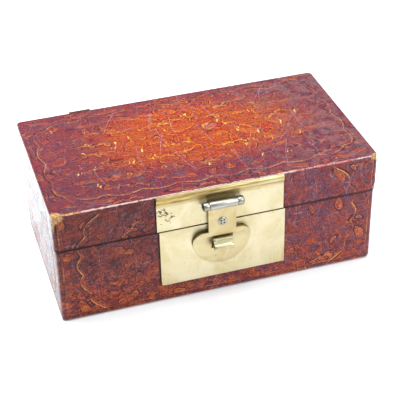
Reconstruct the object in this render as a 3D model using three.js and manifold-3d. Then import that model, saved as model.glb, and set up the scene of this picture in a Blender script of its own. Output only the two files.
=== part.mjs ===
// A small leather-covered jewellery case with a hinged lid and a brass hasp lock.
//
// Millimetres, +Z up. The origin is the centre of the underside, where the case rests.
// X runs along the width, the front with the lock faces -Y, the hinges are at +Y.
// Everything is drawn closed: lid down, hasp hanging over its staple.

import * as THREE from "three";
import { mergeVertices } from "three/addons/utils/BufferGeometryUtils.js";
import Module from "manifold-3d";

const wasm = await Module();
wasm.setup();

// ---------------------------------------------------------------- driving dimensions

// Leather-covered base and lid
const BASE_WIDTH = 208;
const BASE_DEPTH = 114;
const RIM_Z = 54.2; // top of the base's rim
const TOP_Z = 80.9; // top of the lid
const SEAM = 0.3; // gap between the base's rim and the lid's
const LID_OVERHANG = 0.7; // how far the lid stands out past the base, on every side
const CORNER_RADIUS = 3; // the four upright corners
const ARRIS = 1.2; // rounding of the lid's top edges
const LEATHER = 1.0;
const BOARD = 4.0;
const GLUE = 0.1; // glue line between fixed pieces

// Underside
const SOLE = 0.6;
const SOLE_INSET = 3;
const TURN_IN = 10; // how far the leather is folded in under the floor

// Lining
const CARD = 1.2; // silk-covered lining card
const LIP = 3.0; // how far the base's lining stands above the rim
const LIP_CLEARANCE = 0.8; // from the top of that lip to the lid's lining
const PAD = 4.0; // silk-covered wadding
const PAD_EDGE = 1.2; // rounding of the pads' edges
const PAD_GAP = 0.4; // from a pad's edge to the lining around it

// Brass plates on the front
const BRASS = 0.9;
const LID_PLATE_WIDTH = 82;
const LID_PLATE_BOTTOM_Z = 55.4;
const RIDGE_Z = 78.3; // the rolled ridge along the top of the lid plate
const RIDGE_RISE = 1.0;
const LOCK_PLATE_WIDTH = 82;
const LOCK_PLATE_SHIFT = 1.5; // the lock plate is set this far to the right by hand
const LOCK_PLATE_BOTTOM_Z = 13;
const LOCK_PLATE_TOP_Z = 54.1;

// Hasp
const HASP_SHEET = 1.0;
const HASP_STAND_OFF = 1.6; // from the lid plate to the back of the neck
const HASP_AXIS_Z = 70.9;
const HASP_BARREL_RADIUS = 2.6;
const HASP_NECK_WIDTH = 17.9;
const HASP_SHOULDER_Z = 49.5;
const HASP_HEAD_RADIUS = 18.8;
const HASP_HEAD_Z = 42.3; // centre of the round head
const HASP_LOBE_RADIUS = 7; // rounding of the head's two shoulders
const HASP_SEAT = 0.35; // gap between the flat of the head and the lock plate
const HASP_PIN_RADIUS = 1.5;
const HASP_PIN_HEAD_RADIUS = 2.2;
const HASP_PIN_HEAD = 0.6;
const STRAP_WIDTH = 3.4; // each of the two straps that carry the pin
const STRAP_LEG_GAP = 0.3;
const RIVET_Z = 56.6;
const RIVET_HEAD_RADIUS = 3.1;
const RIVET_SHANK_RADIUS = 1.3;

// Staple
const STAPLE_SHEET = 1.1;
const STAPLE_WIDTH = 12.4;
const STAPLE_BOTTOM_Z = 36.6;
const STAPLE_TOP_Z = 45.2;
const STAPLE_PROJECTION = 6.0; // in front of the lock plate
const STAPLE_CLEARANCE = 0.65; // around the staple, in the hasp's slot
const CLINCH = 4.5; // length of a leg's end, bent over behind the board
const CLINCH_RECESS = 1.2; // depth of the pocket that it lies in

// Back hinges
const HINGE_X = 61.5; // centre of each hinge from the middle of the case
const HINGE_WIDTH = 14.3;
const HINGE_SHEET = 0.9;
const HINGE_RADIUS = 2.3;
const HINGE_KNUCKLE = 4.8; // length of the lid leaf's single knuckle
const HINGE_PIN_RADIUS = 1.3;
const BASE_LEAF_LENGTH = 24;
const LEAF_NOTCH = 2.6; // how far a leaf is cut back beside the other's knuckle
const STOP_RADIUS = 3.0; // centreline of the stop tongue, around the lid leaf's knuckle
const STOP_ANGLE = 7.4; // the tongue's tip, degrees above the horizontal
const NAIL_RADIUS = 0.6;
const NAIL_HEAD_RADIUS = 1.5;
const NAIL_LENGTH = 4.4;
const NAIL_SPACING = 10;

// Running and fitting clearances
const SIDE_GAP = 0.3; // between knuckles along a pin
const HOLE_GAP = 0.15; // around a shank or a leg in its hole

// ---------------------------------------------------------------- places worked out

const halfWidth = BASE_WIDTH / 2;
const halfDepth = BASE_DEPTH / 2;
const lidHalfWidth = halfWidth + LID_OVERHANG;
const lidHalfDepth = halfDepth + LID_OVERHANG;
const lidRimZ = RIM_Z + SEAM;

// Distance from a cover's outer face in to the board's outer and inner faces
const toBoard = LEATHER + GLUE;
const toInside = toBoard + BOARD;

const leatherBottomZ = SOLE + GLUE;
const floorBottomZ = leatherBottomZ + toBoard;
const floorTopZ = floorBottomZ + BOARD;
const baseBoardTopZ = RIM_Z - toBoard;
const ceilingZ = TOP_Z - toInside;
const lidBoardBottomZ = lidRimZ + toBoard;

const lockPlateBackY = -halfDepth - GLUE;
const lockPlateFrontY = lockPlateBackY - BRASS;
const lidPlateBackY = -lidHalfDepth - GLUE;
const lidPlateFrontY = lidPlateBackY - BRASS;

const neckY = lidPlateFrontY - HASP_STAND_OFF - HASP_SHEET / 2;
const haspRoll = HASP_BARREL_RADIUS - HASP_SHEET / 2;
const haspAxisY = neckY - haspRoll;
const neckHalf = HASP_NECK_WIDTH / 2;

const hingeRoll = HINGE_RADIUS - HINGE_SHEET / 2;
const hingeAxisY = lidHalfDepth + GLUE + HINGE_RADIUS;
const hingeAxisZ = RIM_Z + SEAM / 2;

// ---------------------------------------------------------------- solids

/** A closed geometry as a solid that can be joined and cut. */
function solid(geometry) {
  const bare = geometry.clone();
  bare.deleteAttribute("normal");
  bare.deleteAttribute("uv");
  const merged = mergeVertices(bare, 1e-4);
  return new wasm.Manifold(
    new wasm.Mesh({
      numProp: 3,
      vertProperties: new Float32Array(merged.attributes.position.array),
      triVerts: new Uint32Array(merged.index.array),
    }),
  );
}

/** A solid's surface as a flat-shaded geometry. */
function surface(body) {
  const mesh = body.getMesh();
  const geometry = new THREE.BufferGeometry();
  geometry.setAttribute("position", new THREE.BufferAttribute(mesh.vertProperties, mesh.numProp));
  geometry.setIndex(new THREE.BufferAttribute(mesh.triVerts, 1));
  return geometry.toNonIndexed();
}

const joined = (first, ...others) => others.reduce((sum, next) => sum.add(next), first);
const cut = (body, ...tools) => tools.reduce((rest, tool) => rest.subtract(tool), body);

/** A block between two opposite corners. */
function block(x0, x1, y0, y1, z0, z1) {
  const geometry = new THREE.BoxGeometry(x1 - x0, y1 - y0, z1 - z0);
  geometry.translate((x0 + x1) / 2, (y0 + y1) / 2, (z0 + z1) / 2);
  return geometry;
}

const extruded = (shape, depth, curveSegments) =>
  new THREE.ExtrudeGeometry(shape, { depth, bevelEnabled: false, curveSegments });

/** A shape drawn in X and Y, from z0 up to z1. */
const upright = (shape, z0, z1) => extruded(shape, z1 - z0, 6).translate(0, 0, z0);

/** A shape drawn in Y and Z, from x0 along to x1. */
function sideways(shape, x0, x1) {
  const turn = new THREE.Matrix4().makeBasis(
    new THREE.Vector3(0, 1, 0),
    new THREE.Vector3(0, 0, 1),
    new THREE.Vector3(1, 0, 0),
  );
  return extruded(shape, x1 - x0, 8).applyMatrix4(turn).translate(x0, 0, 0);
}

/** A shape drawn in X and Z, from y1 forward to y0. */
function frontways(shape, y0, y1) {
  return extruded(shape, y1 - y0, 12).rotateX(Math.PI / 2).translate(0, y1, 0);
}

const turned = (profile, segments) =>
  new THREE.LatheGeometry(profile.map(([radius, along]) => new THREE.Vector2(radius, along)), segments);

/** A turned piece with its axis along X. The profile holds [radius, distance along X]. */
const turnedAlongX = (profile, x, y, z, segments = 20) =>
  turned(profile, segments).rotateZ(-Math.PI / 2).translate(x, y, z);

/** A turned piece with its axis along Y. The profile holds [radius, distance along Y]. */
const turnedAlongY = (profile, x, y, z, segments = 20) => turned(profile, segments).translate(x, y, z);

/** A rectangle with round corners, centred on the origin. */
function roundedRectangle(half, halfOther, radius) {
  const shape = new THREE.Shape();
  const quarter = Math.PI / 2;
  shape.absarc(half - radius, halfOther - radius, radius, 0, quarter);
  shape.absarc(radius - half, halfOther - radius, radius, quarter, 2 * quarter);
  shape.absarc(radius - half, radius - halfOther, radius, 2 * quarter, 3 * quarter);
  shape.absarc(half - radius, radius - halfOther, radius, 3 * quarter, 4 * quarter);
  shape.closePath();
  return shape;
}

/** The side view of sheet metal bent along a path: its outline at an even thickness. */
function bentSheet(path, thickness, arcDivisions = 10) {
  const line = path.getPoints(arcDivisions);
  const along = line.slice(1).map((point, i) => point.clone().sub(line[i]).normalize());
  const left = [];
  const right = [];
  line.forEach((point, i) => {
    const before = along[Math.max(i - 1, 0)];
    const after = along[Math.min(i, along.length - 1)];
    const middle = before.clone().add(after).normalize();
    const normal = new THREE.Vector2(-middle.y, middle.x);
    const reach = thickness / 2 / middle.dot(before);
    left.push(point.clone().addScaledVector(normal, reach));
    right.unshift(point.clone().addScaledVector(normal, -reach));
  });
  return new THREE.Shape([...left, ...right]);
}

// ---------------------------------------------------------------- the case as a group

const jewelleryCase = new THREE.Group();

const FINISH = {
  wood: { color: 0x9b7348, roughness: 0.75, metalness: 0 },
  leather: { color: 0x8a3a26, roughness: 0.4, metalness: 0 },
  card: { color: 0x4a2a22, roughness: 0.8, metalness: 0 },
  silk: { color: 0xa81f26, roughness: 0.6, metalness: 0 },
  brass: { color: 0xe6cf8c, roughness: 0.3, metalness: 1 },
  hasp: { color: 0xdcc079, roughness: 0.3, metalness: 1 },
  nickel: { color: 0xcfcabc, roughness: 0.25, metalness: 1 },
};

function place(name, finish, geometry) {
  const mesh = new THREE.Mesh(geometry, new THREE.MeshStandardMaterial(FINISH[finish]));
  mesh.name = name;
  jewelleryCase.add(mesh);
}

// ---------------------------------------------------------------- cutting tools shared by pieces

/** A pocket for one bent-over leg end behind a board: up for +1, down for -1. */
function clinchPocket(x0, x1, boardInsideY, legZ, side) {
  const reach = CLINCH + STAPLE_SHEET;
  const z0 = side > 0 ? legZ - STAPLE_SHEET : legZ - reach;
  const z1 = side > 0 ? legZ + reach : legZ + STAPLE_SHEET;
  return solid(block(x0, x1, boardInsideY - CLINCH_RECESS, boardInsideY + 1, z0, z1));
}

const boardInsideY = toInside - halfDepth; // inner face of the base's front board
const lidBoardInsideY = toInside - lidHalfDepth; // inner face of the lid's front board
const staplePathTopZ = STAPLE_TOP_Z - STAPLE_SHEET / 2;
const staplePathBottomZ = STAPLE_BOTTOM_Z + STAPLE_SHEET / 2;
const strapX = neckHalf + SIDE_GAP; // inner edge of each strap
const strapLegOffset = (HASP_SHEET + STRAP_LEG_GAP) / 2;

/** The holes for the staple's two legs, right through whatever is at the front of the base. */
function stapleHoles() {
  const half = STAPLE_WIDTH / 2 + HOLE_GAP;
  const tall = STAPLE_SHEET / 2 + HOLE_GAP;
  return [staplePathTopZ, staplePathBottomZ].map((z) =>
    solid(block(-half, half, lockPlateFrontY - 1, boardInsideY + 1, z - tall, z + tall)));
}

/** The holes for both pin straps, right through whatever is at the front of the lid. */
function strapHoles() {
  const tall = strapLegOffset + HASP_SHEET / 2 + HOLE_GAP;
  return [-1, 1].map((side) => {
    const inner = side * (strapX - HOLE_GAP);
    const outer = side * (strapX + STRAP_WIDTH + HOLE_GAP);
    return solid(block(
      Math.min(inner, outer), Math.max(inner, outer),
      lidPlateFrontY - 2, lidBoardInsideY + 1,
      HASP_AXIS_Z - tall, HASP_AXIS_Z + tall,
    ));
  });
}

const lidNailZ = [1, 2].map((n) => hingeAxisZ + LEAF_NOTCH + NAIL_SPACING * (n - 0.5));
const baseNailZ = [1, 2].map((n) => hingeAxisZ - LEAF_NOTCH - NAIL_SPACING * (n - 0.4));

/** The holes for the nails at the given heights, in both hinges, behind the given face. */
function nailHoles(heights) {
  const profile = [[0, -NAIL_LENGTH - 1], [NAIL_RADIUS + HOLE_GAP, -NAIL_LENGTH - 1],
    [NAIL_RADIUS + HOLE_GAP, 3], [0, 3]];
  return [-HINGE_X, HINGE_X].flatMap((x) =>
    heights.map((z) => solid(turnedAlongY(profile, x, lidHalfDepth, z, 12))));
}

// ---------------------------------------------------------------- leather covers

/** An upright block with round corners, as large as a cover less an even inset. */
const core = (half, halfOther, inset, z0, z1) =>
  solid(upright(
    roundedRectangle(half - inset, halfOther - inset, Math.max(CORNER_RADIUS - inset, 0.3)), z0, z1,
  ));

function baseLeather() {
  const outer = core(halfWidth, halfDepth, 0, leatherBottomZ, RIM_Z);
  const hollow = core(halfWidth, halfDepth, LEATHER, leatherBottomZ + LEATHER, RIM_Z - LEATHER);
  const mouth = solid(block(
    toInside - halfWidth, halfWidth - toInside, toInside - halfDepth, halfDepth - toInside,
    RIM_Z - LEATHER - 1, RIM_Z + 1,
  ));
  const underneath = solid(block(
    TURN_IN - halfWidth, halfWidth - TURN_IN, TURN_IN - halfDepth, halfDepth - TURN_IN,
    leatherBottomZ - 1, leatherBottomZ + LEATHER + 1,
  ));
  return cut(outer, hollow, mouth, underneath, ...stapleHoles(), ...nailHoles(baseNailZ));
}

function lidLeather() {
  const shape = roundedRectangle(
    lidHalfWidth - ARRIS, lidHalfDepth - ARRIS, CORNER_RADIUS - ARRIS,
  );
  const rounded = new THREE.ExtrudeGeometry(shape, {
    depth: TOP_Z - 2 * ARRIS,
    bevelSize: ARRIS,
    bevelThickness: ARRIS,
    bevelSegments: 3,
    curveSegments: 6,
  }).translate(0, 0, ARRIS);
  const below = solid(block(-lidHalfWidth - 1, lidHalfWidth + 1, -halfDepth * 2, halfDepth * 2, -1, lidRimZ));
  const hollow = core(lidHalfWidth, lidHalfDepth, LEATHER, lidRimZ + LEATHER, TOP_Z - LEATHER);
  const mouth = solid(block(
    toInside - lidHalfWidth, lidHalfWidth - toInside, toInside - lidHalfDepth, lidHalfDepth - toInside,
    lidRimZ - 1, lidRimZ + LEATHER + 1,
  ));
  return cut(solid(rounded), below, hollow, mouth, ...strapHoles(), ...nailHoles(lidNailZ));
}

place("base_leather", "leather", surface(baseLeather()));
place("lid_leather", "leather", surface(lidLeather()));

// ---------------------------------------------------------------- boards

/** A board cut to the round corners of its carcass. */
const trimmed = (half, halfOther, geometry) =>
  solid(geometry).intersect(core(half, halfOther, toBoard, -1, TOP_Z + 1));

/** Front, back, left and right boards of a carcass, butted at the corners. */
function placeWalls(prefix, half, halfOther, z0, z1, frontCuts, backCuts) {
  const x1 = half - toBoard;
  const y1 = halfOther - toBoard;
  const sideY = halfOther - toInside - GLUE;
  const front = trimmed(half, halfOther, block(-x1, x1, -y1, BOARD - y1, z0, z1));
  const back = trimmed(half, halfOther, block(-x1, x1, y1 - BOARD, y1, z0, z1));
  place(`${prefix}_front_board`, "wood", surface(cut(front, ...frontCuts)));
  place(`${prefix}_back_board`, "wood", surface(cut(back, ...backCuts)));
  place(`${prefix}_left_board`, "wood", block(-x1, BOARD - x1, -sideY, sideY, z0, z1));
  place(`${prefix}_right_board`, "wood", block(x1 - BOARD, x1, -sideY, sideY, z0, z1));
}

/** A board as wide as the carcass, for the floor or the ceiling. */
const wideBoard = (half, halfOther, z0) => surface(trimmed(half, halfOther, block(
  toBoard - half, half - toBoard, toBoard - halfOther, halfOther - toBoard, z0, z0 + BOARD,
)));

const staplePocketHalf = STAPLE_WIDTH / 2 + HOLE_GAP;
const staplePockets = [
  clinchPocket(-staplePocketHalf, staplePocketHalf, boardInsideY, staplePathTopZ, 1),
  clinchPocket(-staplePocketHalf, staplePocketHalf, boardInsideY, staplePathBottomZ, -1),
];
const strapPocketHalf = strapX + STRAP_WIDTH + HOLE_GAP;
const strapPockets = [-1, 1].flatMap((side) => {
  const x0 = side < 0 ? -strapPocketHalf : strapX - HOLE_GAP;
  const x1 = side < 0 ? HOLE_GAP - strapX : strapPocketHalf;
  return [1, -1].map((way) => clinchPocket(x0, x1, lidBoardInsideY, HASP_AXIS_Z, way));
});

place("base_floor_board", "wood", wideBoard(halfWidth, halfDepth, floorBottomZ));
placeWalls(
  "base", halfWidth, halfDepth, floorTopZ + GLUE, baseBoardTopZ,
  [...stapleHoles(), ...staplePockets], nailHoles(baseNailZ),
);
place("lid_top_board", "wood", wideBoard(lidHalfWidth, lidHalfDepth, ceilingZ));
placeWalls(
  "lid", lidHalfWidth, lidHalfDepth, lidBoardBottomZ, ceilingZ - GLUE,
  [...strapHoles(), ...strapPockets], nailHoles(lidNailZ),
);

// ---------------------------------------------------------------- sole and lining

place("base_sole_card", "card", upright(
  roundedRectangle(halfWidth - SOLE_INSET, halfDepth - SOLE_INSET, CORNER_RADIUS), 0, SOLE,
));

/** Four silk-covered cards against the inside of a carcass. */
function placeLinings(prefix, half, halfOther, z0, z1) {
  const x1 = half - toInside - GLUE;
  const y1 = halfOther - toInside - GLUE;
  const sideY = y1 - CARD - GLUE;
  place(`${prefix}_front_lining`, "silk", block(-x1, x1, -y1, CARD - y1, z0, z1));
  place(`${prefix}_back_lining`, "silk", block(-x1, x1, y1 - CARD, y1, z0, z1));
  place(`${prefix}_left_lining`, "silk", block(-x1, CARD - x1, -sideY, sideY, z0, z1));
  place(`${prefix}_right_lining`, "silk", block(x1 - CARD, x1, -sideY, sideY, z0, z1));
}

/** A pad with rounded edges that fills a carcass between its linings. */
function pad(half, halfOther, z0) {
  const inset = toInside + GLUE + CARD + PAD_GAP + PAD_EDGE;
  const shape = roundedRectangle(half - inset, halfOther - inset, 1);
  return new THREE.ExtrudeGeometry(shape, {
    depth: PAD - 2 * PAD_EDGE,
    bevelSize: PAD_EDGE,
    bevelThickness: PAD_EDGE,
    bevelSegments: 2,
    curveSegments: 3,
  }).translate(0, 0, z0 + PAD_EDGE);
}

const padFloorZ = floorTopZ + GLUE;
const padCeilingZ = ceilingZ - GLUE - PAD;
placeLinings("base", halfWidth, halfDepth, padFloorZ, RIM_Z + LIP);
placeLinings("lid", lidHalfWidth, lidHalfDepth, RIM_Z + LIP + LIP_CLEARANCE, ceilingZ - GLUE);
place("base_floor_pad", "silk", pad(halfWidth, halfDepth, padFloorZ));
place("lid_pad", "silk", pad(lidHalfWidth, lidHalfDepth, padCeilingZ));

// ---------------------------------------------------------------- lock plate and staple

const lockPlate = solid(block(
  LOCK_PLATE_SHIFT - LOCK_PLATE_WIDTH / 2, LOCK_PLATE_SHIFT + LOCK_PLATE_WIDTH / 2,
  lockPlateFrontY, lockPlateBackY, LOCK_PLATE_BOTTOM_Z, LOCK_PLATE_TOP_Z,
));
place("lock_plate", "brass", surface(cut(lockPlate, ...stapleHoles())));

/** A strip bent to a D, its two legs through the board and bent over behind it. */
function staple() {
  const frontY = lockPlateFrontY - STAPLE_PROJECTION + STAPLE_SHEET / 2;
  const clinchY = boardInsideY - STAPLE_SHEET / 2 - GLUE;
  const bend = (staplePathTopZ - staplePathBottomZ) / 2 - 0.6;
  const tight = 1.1;
  const path = new THREE.Path();
  path.moveTo(clinchY, staplePathTopZ + CLINCH);
  path.lineTo(clinchY, staplePathTopZ);
  path.lineTo(frontY + tight, staplePathTopZ);
  path.absarc(frontY + tight, staplePathTopZ - tight, tight, Math.PI / 2, Math.PI);
  path.absarc(frontY + bend, staplePathBottomZ + bend, bend, Math.PI, Math.PI * 1.5);
  path.lineTo(clinchY, staplePathBottomZ);
  path.lineTo(clinchY, staplePathBottomZ - CLINCH);
  return sideways(bentSheet(path, STAPLE_SHEET, 4), -STAPLE_WIDTH / 2, STAPLE_WIDTH / 2);
}

place("staple", "hasp", staple());

// ---------------------------------------------------------------- lid plate

/** Flat sheet whose top swells into a ridge and turns back to the lid's edge. */
function lidPlate() {
  const y = (lidPlateBackY + lidPlateFrontY) / 2;
  const path = new THREE.Path();
  path.moveTo(y, LID_PLATE_BOTTOM_Z);
  path.lineTo(y, RIDGE_Z - 5);
  path.bezierCurveTo(
    y, RIDGE_Z - 2, y - RIDGE_RISE, RIDGE_Z - 2,
    y - RIDGE_RISE, RIDGE_Z,
  );
  path.bezierCurveTo(
    y - RIDGE_RISE, RIDGE_Z + 1.4, y, RIDGE_Z + 1.2,
    y, TOP_Z - 0.2,
  );
  const half = LID_PLATE_WIDTH / 2;
  return cut(solid(sideways(bentSheet(path, BRASS, 8), -half, half)), ...strapHoles());
}

place("lid_plate", "brass", surface(lidPlate()));

// ---------------------------------------------------------------- hasp and its pin

const degrees = THREE.MathUtils.degToRad;
const ROLL_END = 300; // how far a rolled knuckle goes round before it would meet its own leaf

/** Side view of the hasp: flat head, cranked forward to the neck, rolled round the pin. */
function haspSide() {
  const headY = lockPlateFrontY - HASP_SEAT - HASP_SHEET / 2;
  const headBottomZ = HASP_HEAD_Z - HASP_HEAD_RADIUS - 1;
  const path = new THREE.Path();
  path.moveTo(headY, headBottomZ);
  path.lineTo(headY, HASP_HEAD_Z - 4);
  path.bezierCurveTo(
    headY, HASP_HEAD_Z + 1.5, neckY, HASP_SHOULDER_Z - 4,
    neckY, HASP_SHOULDER_Z + 1,
  );
  path.lineTo(neckY, HASP_AXIS_Z);
  path.absarc(haspAxisY, HASP_AXIS_Z, haspRoll, 0, degrees(ROLL_END));
  return bentSheet(path, HASP_SHEET, 9);
}

/** Front view of the hasp: straight neck, square-shouldered round head. */
function haspFront() {
  const lobeX = HASP_HEAD_RADIUS - HASP_LOBE_RADIUS;
  const lobeZ = HASP_SHOULDER_Z - HASP_LOBE_RADIUS;
  const shape = new THREE.Shape();
  shape.moveTo(neckHalf, HASP_AXIS_Z + 2 * HASP_BARREL_RADIUS);
  shape.lineTo(-neckHalf, HASP_AXIS_Z + 2 * HASP_BARREL_RADIUS);
  shape.lineTo(-neckHalf, HASP_SHOULDER_Z);
  shape.absarc(-lobeX, lobeZ, HASP_LOBE_RADIUS, Math.PI / 2, Math.PI);
  shape.absarc(0, HASP_HEAD_Z, HASP_HEAD_RADIUS, Math.PI, 2 * Math.PI);
  shape.absarc(lobeX, lobeZ, HASP_LOBE_RADIUS, 0, Math.PI / 2);
  shape.lineTo(neckHalf, HASP_SHOULDER_Z);
  return shape;
}

function hasp() {
  const sheet = solid(sideways(haspSide(), -HASP_HEAD_RADIUS - 1, HASP_HEAD_RADIUS + 1));
  const outline = solid(frontways(haspFront(), haspAxisY - 5, lockPlateFrontY));
  const slotHalf = STAPLE_WIDTH / 2 + STAPLE_CLEARANCE;
  const slot = solid(block(
    -slotHalf, slotHalf, haspAxisY - 5, lockPlateFrontY,
    STAPLE_BOTTOM_Z - STAPLE_CLEARANCE, STAPLE_TOP_Z + STAPLE_CLEARANCE,
  ));
  const hole = solid(turnedAlongY(
    [[0, -2], [RIVET_SHANK_RADIUS + HOLE_GAP, -2], [RIVET_SHANK_RADIUS + HOLE_GAP, 2], [0, 2]],
    0, neckY, RIVET_Z,
  ));
  return cut(sheet.intersect(outline), slot, hole);
}

place("hasp", "hasp", surface(hasp()));

/** A low domed rivet through the neck, spread out behind it. */
function rivet() {
  const front = -HASP_SHEET / 2 - 0.05;
  const back = HASP_SHEET / 2 + 0.05;
  return turnedAlongY(
    [[0, front - 0.8], [1.6, front - 0.7], [2.6, front - 0.45], [RIVET_HEAD_RADIUS, front],
      [RIVET_SHANK_RADIUS, front], [RIVET_SHANK_RADIUS, back], [2.1, back], [1.8, back + 0.45],
      [0, back + 0.5]],
    0, neckY, RIVET_Z, 24,
  );
}

place("hasp_rivet", "nickel", rivet());

/** A strip doubled round the pin; both legs go through the lid and are bent over inside. */
function strap(x0) {
  const clinchY = lidBoardInsideY - HASP_SHEET / 2 - GLUE;
  const meet = Math.asin(strapLegOffset / haspRoll);
  const path = new THREE.Path();
  path.moveTo(clinchY, HASP_AXIS_Z + CLINCH);
  path.lineTo(clinchY, HASP_AXIS_Z + strapLegOffset);
  path.absarc(haspAxisY, HASP_AXIS_Z, haspRoll, meet, 2 * Math.PI - meet);
  path.lineTo(clinchY, HASP_AXIS_Z - strapLegOffset);
  path.lineTo(clinchY, HASP_AXIS_Z - CLINCH);
  return sideways(bentSheet(path, HASP_SHEET, 8), x0, x0 + STRAP_WIDTH);
}

place("hasp_strap_left", "nickel", strap(-strapX - STRAP_WIDTH));
place("hasp_strap_right", "nickel", strap(strapX));

/** A pin along X whose two heads stand just outside the knuckles. */
function headedPin(x, y, z, half, radius, headRadius, head) {
  return turnedAlongX(
    [[0, -half - head], [headRadius * 0.7, -half - head], [headRadius, -half - head / 2],
      [headRadius, -half], [radius, -half], [radius, half], [headRadius, half],
      [headRadius, half + head / 2], [headRadius * 0.7, half + head], [0, half + head]],
    x, y, z,
  );
}

place("hasp_pin", "nickel", headedPin(
  0, haspAxisY, HASP_AXIS_Z, strapX + STRAP_WIDTH + GLUE,
  HASP_PIN_RADIUS, HASP_PIN_HEAD_RADIUS, HASP_PIN_HEAD,
));

// ---------------------------------------------------------------- back hinges

const knuckleHalf = HINGE_KNUCKLE / 2;
const leafHalf = HINGE_WIDTH / 2;
const lidLeafY = hingeAxisY - hingeRoll;
const baseLeafY = halfDepth + GLUE + HINGE_SHEET / 2;

/** Lid leaf: a strap up the back of the lid with one knuckle at its middle. */
function lidLeaf(x) {
  const path = new THREE.Path();
  path.moveTo(lidLeafY, TOP_Z);
  path.lineTo(lidLeafY, hingeAxisZ);
  path.absarc(hingeAxisY, hingeAxisZ, hingeRoll, Math.PI, Math.PI + degrees(ROLL_END));
  const knuckle = solid(sideways(bentSheet(path, HINGE_SHEET), x - knuckleHalf, x + knuckleHalf));
  const plate = solid(block(
    x - leafHalf, x + leafHalf, lidLeafY - HINGE_SHEET / 2, lidLeafY + HINGE_SHEET / 2,
    hingeAxisZ + LEAF_NOTCH, TOP_Z,
  ));
  return cut(joined(knuckle, plate), ...nailHoles(lidNailZ));
}

/** Base leaf: two knuckles, and between them a tongue that stops the lid leaning too far. */
function baseLeaf(x) {
  const bottomZ = hingeAxisZ - BASE_LEAF_LENGTH;
  const rolled = new THREE.Path();
  rolled.moveTo(baseLeafY, bottomZ);
  rolled.lineTo(baseLeafY, hingeAxisZ - LEAF_NOTCH);
  rolled.bezierCurveTo(
    baseLeafY, hingeAxisZ - 1.4, lidLeafY, hingeAxisZ - 1.2,
    lidLeafY, hingeAxisZ,
  );
  rolled.absarc(hingeAxisY, hingeAxisZ, hingeRoll, Math.PI, Math.PI - degrees(ROLL_END), true);

  const turn = 0.9;
  const tongue = new THREE.Path();
  tongue.moveTo(baseLeafY, bottomZ);
  tongue.lineTo(baseLeafY, hingeAxisZ - STOP_RADIUS - turn);
  tongue.absarc(
    baseLeafY + turn, hingeAxisZ - STOP_RADIUS - turn, turn, Math.PI, Math.PI / 2, true,
  );
  tongue.absarc(hingeAxisY, hingeAxisZ, STOP_RADIUS, -Math.PI / 2, degrees(STOP_ANGLE));

  const sides = [-1, 1].map((side) => {
    const inner = x + side * (knuckleHalf + SIDE_GAP);
    const outer = x + side * leafHalf;
    return solid(sideways(bentSheet(rolled, HINGE_SHEET), Math.min(inner, outer), Math.max(inner, outer)));
  });
  const middle = solid(sideways(bentSheet(tongue, HINGE_SHEET), x - knuckleHalf, x + knuckleHalf));
  const plate = solid(block(
    x - leafHalf, x + leafHalf, baseLeafY - HINGE_SHEET / 2, baseLeafY + HINGE_SHEET / 2,
    bottomZ, hingeAxisZ - STOP_RADIUS - turn,
  ));
  return cut(joined(plate, ...sides, middle), ...nailHoles(baseNailZ));
}

/** A round-headed nail driven in from the back, through a leaf whose outer face is at y. */
function nail(x, y, z) {
  return turnedAlongY(
    [[0, -NAIL_LENGTH], [NAIL_RADIUS, -NAIL_LENGTH + 1], [NAIL_RADIUS, 0.05], [NAIL_HEAD_RADIUS, 0.05],
      [NAIL_HEAD_RADIUS * 0.8, 0.45], [NAIL_HEAD_RADIUS * 0.4, 0.65], [0, 0.7]],
    x, y, z, 12,
  );
}

for (const [side, x] of [["left", -HINGE_X], ["right", HINGE_X]]) {
  place(`lid_hinge_leaf_${side}`, "brass", surface(lidLeaf(x)));
  place(`base_hinge_leaf_${side}`, "brass", surface(baseLeaf(x)));
  place(`hinge_pin_${side}`, "nickel", headedPin(
    x, hingeAxisY, hingeAxisZ, leafHalf + GLUE, HINGE_PIN_RADIUS, 2.0, 0.6,
  ));
  lidNailZ.forEach((z, i) => {
    place(`lid_hinge_nail_${side}_${i + 1}`, "brass", nail(x, lidLeafY + HINGE_SHEET / 2, z));
  });
  baseNailZ.forEach((z, i) => {
    place(`base_hinge_nail_${side}_${i + 1}`, "brass", nail(x, baseLeafY + HINGE_SHEET / 2, z));
  });
}

export default jewelleryCase;
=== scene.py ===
"""The looks of a small leather-covered jewellery case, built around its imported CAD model.

Metres in Blender, in the CAD frame: origin at the centre of the underside, +Z up, the lock
faces -Y. Shapes are worked out in millimetres and scaled when a mesh is made.
"""

import math

import bmesh
import bpy
import numpy as np
from mathutils import Matrix, Vector


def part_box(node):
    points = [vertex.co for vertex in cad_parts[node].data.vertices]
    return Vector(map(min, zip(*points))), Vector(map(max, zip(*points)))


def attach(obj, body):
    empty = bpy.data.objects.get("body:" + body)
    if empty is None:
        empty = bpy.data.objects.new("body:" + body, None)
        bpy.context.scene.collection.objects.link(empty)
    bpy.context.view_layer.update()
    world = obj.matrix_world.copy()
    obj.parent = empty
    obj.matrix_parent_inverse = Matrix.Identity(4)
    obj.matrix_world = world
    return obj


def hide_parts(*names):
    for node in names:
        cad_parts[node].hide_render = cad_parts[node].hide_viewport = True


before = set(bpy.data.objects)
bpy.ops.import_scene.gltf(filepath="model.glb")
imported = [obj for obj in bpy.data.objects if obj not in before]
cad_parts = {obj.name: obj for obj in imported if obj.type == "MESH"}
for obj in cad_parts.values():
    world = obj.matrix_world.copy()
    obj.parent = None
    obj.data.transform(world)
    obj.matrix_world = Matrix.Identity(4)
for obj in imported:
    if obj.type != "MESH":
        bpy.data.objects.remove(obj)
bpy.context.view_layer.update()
MM = 0.001

# ---------------------------------------------------------------- sizes, in millimetres

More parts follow.
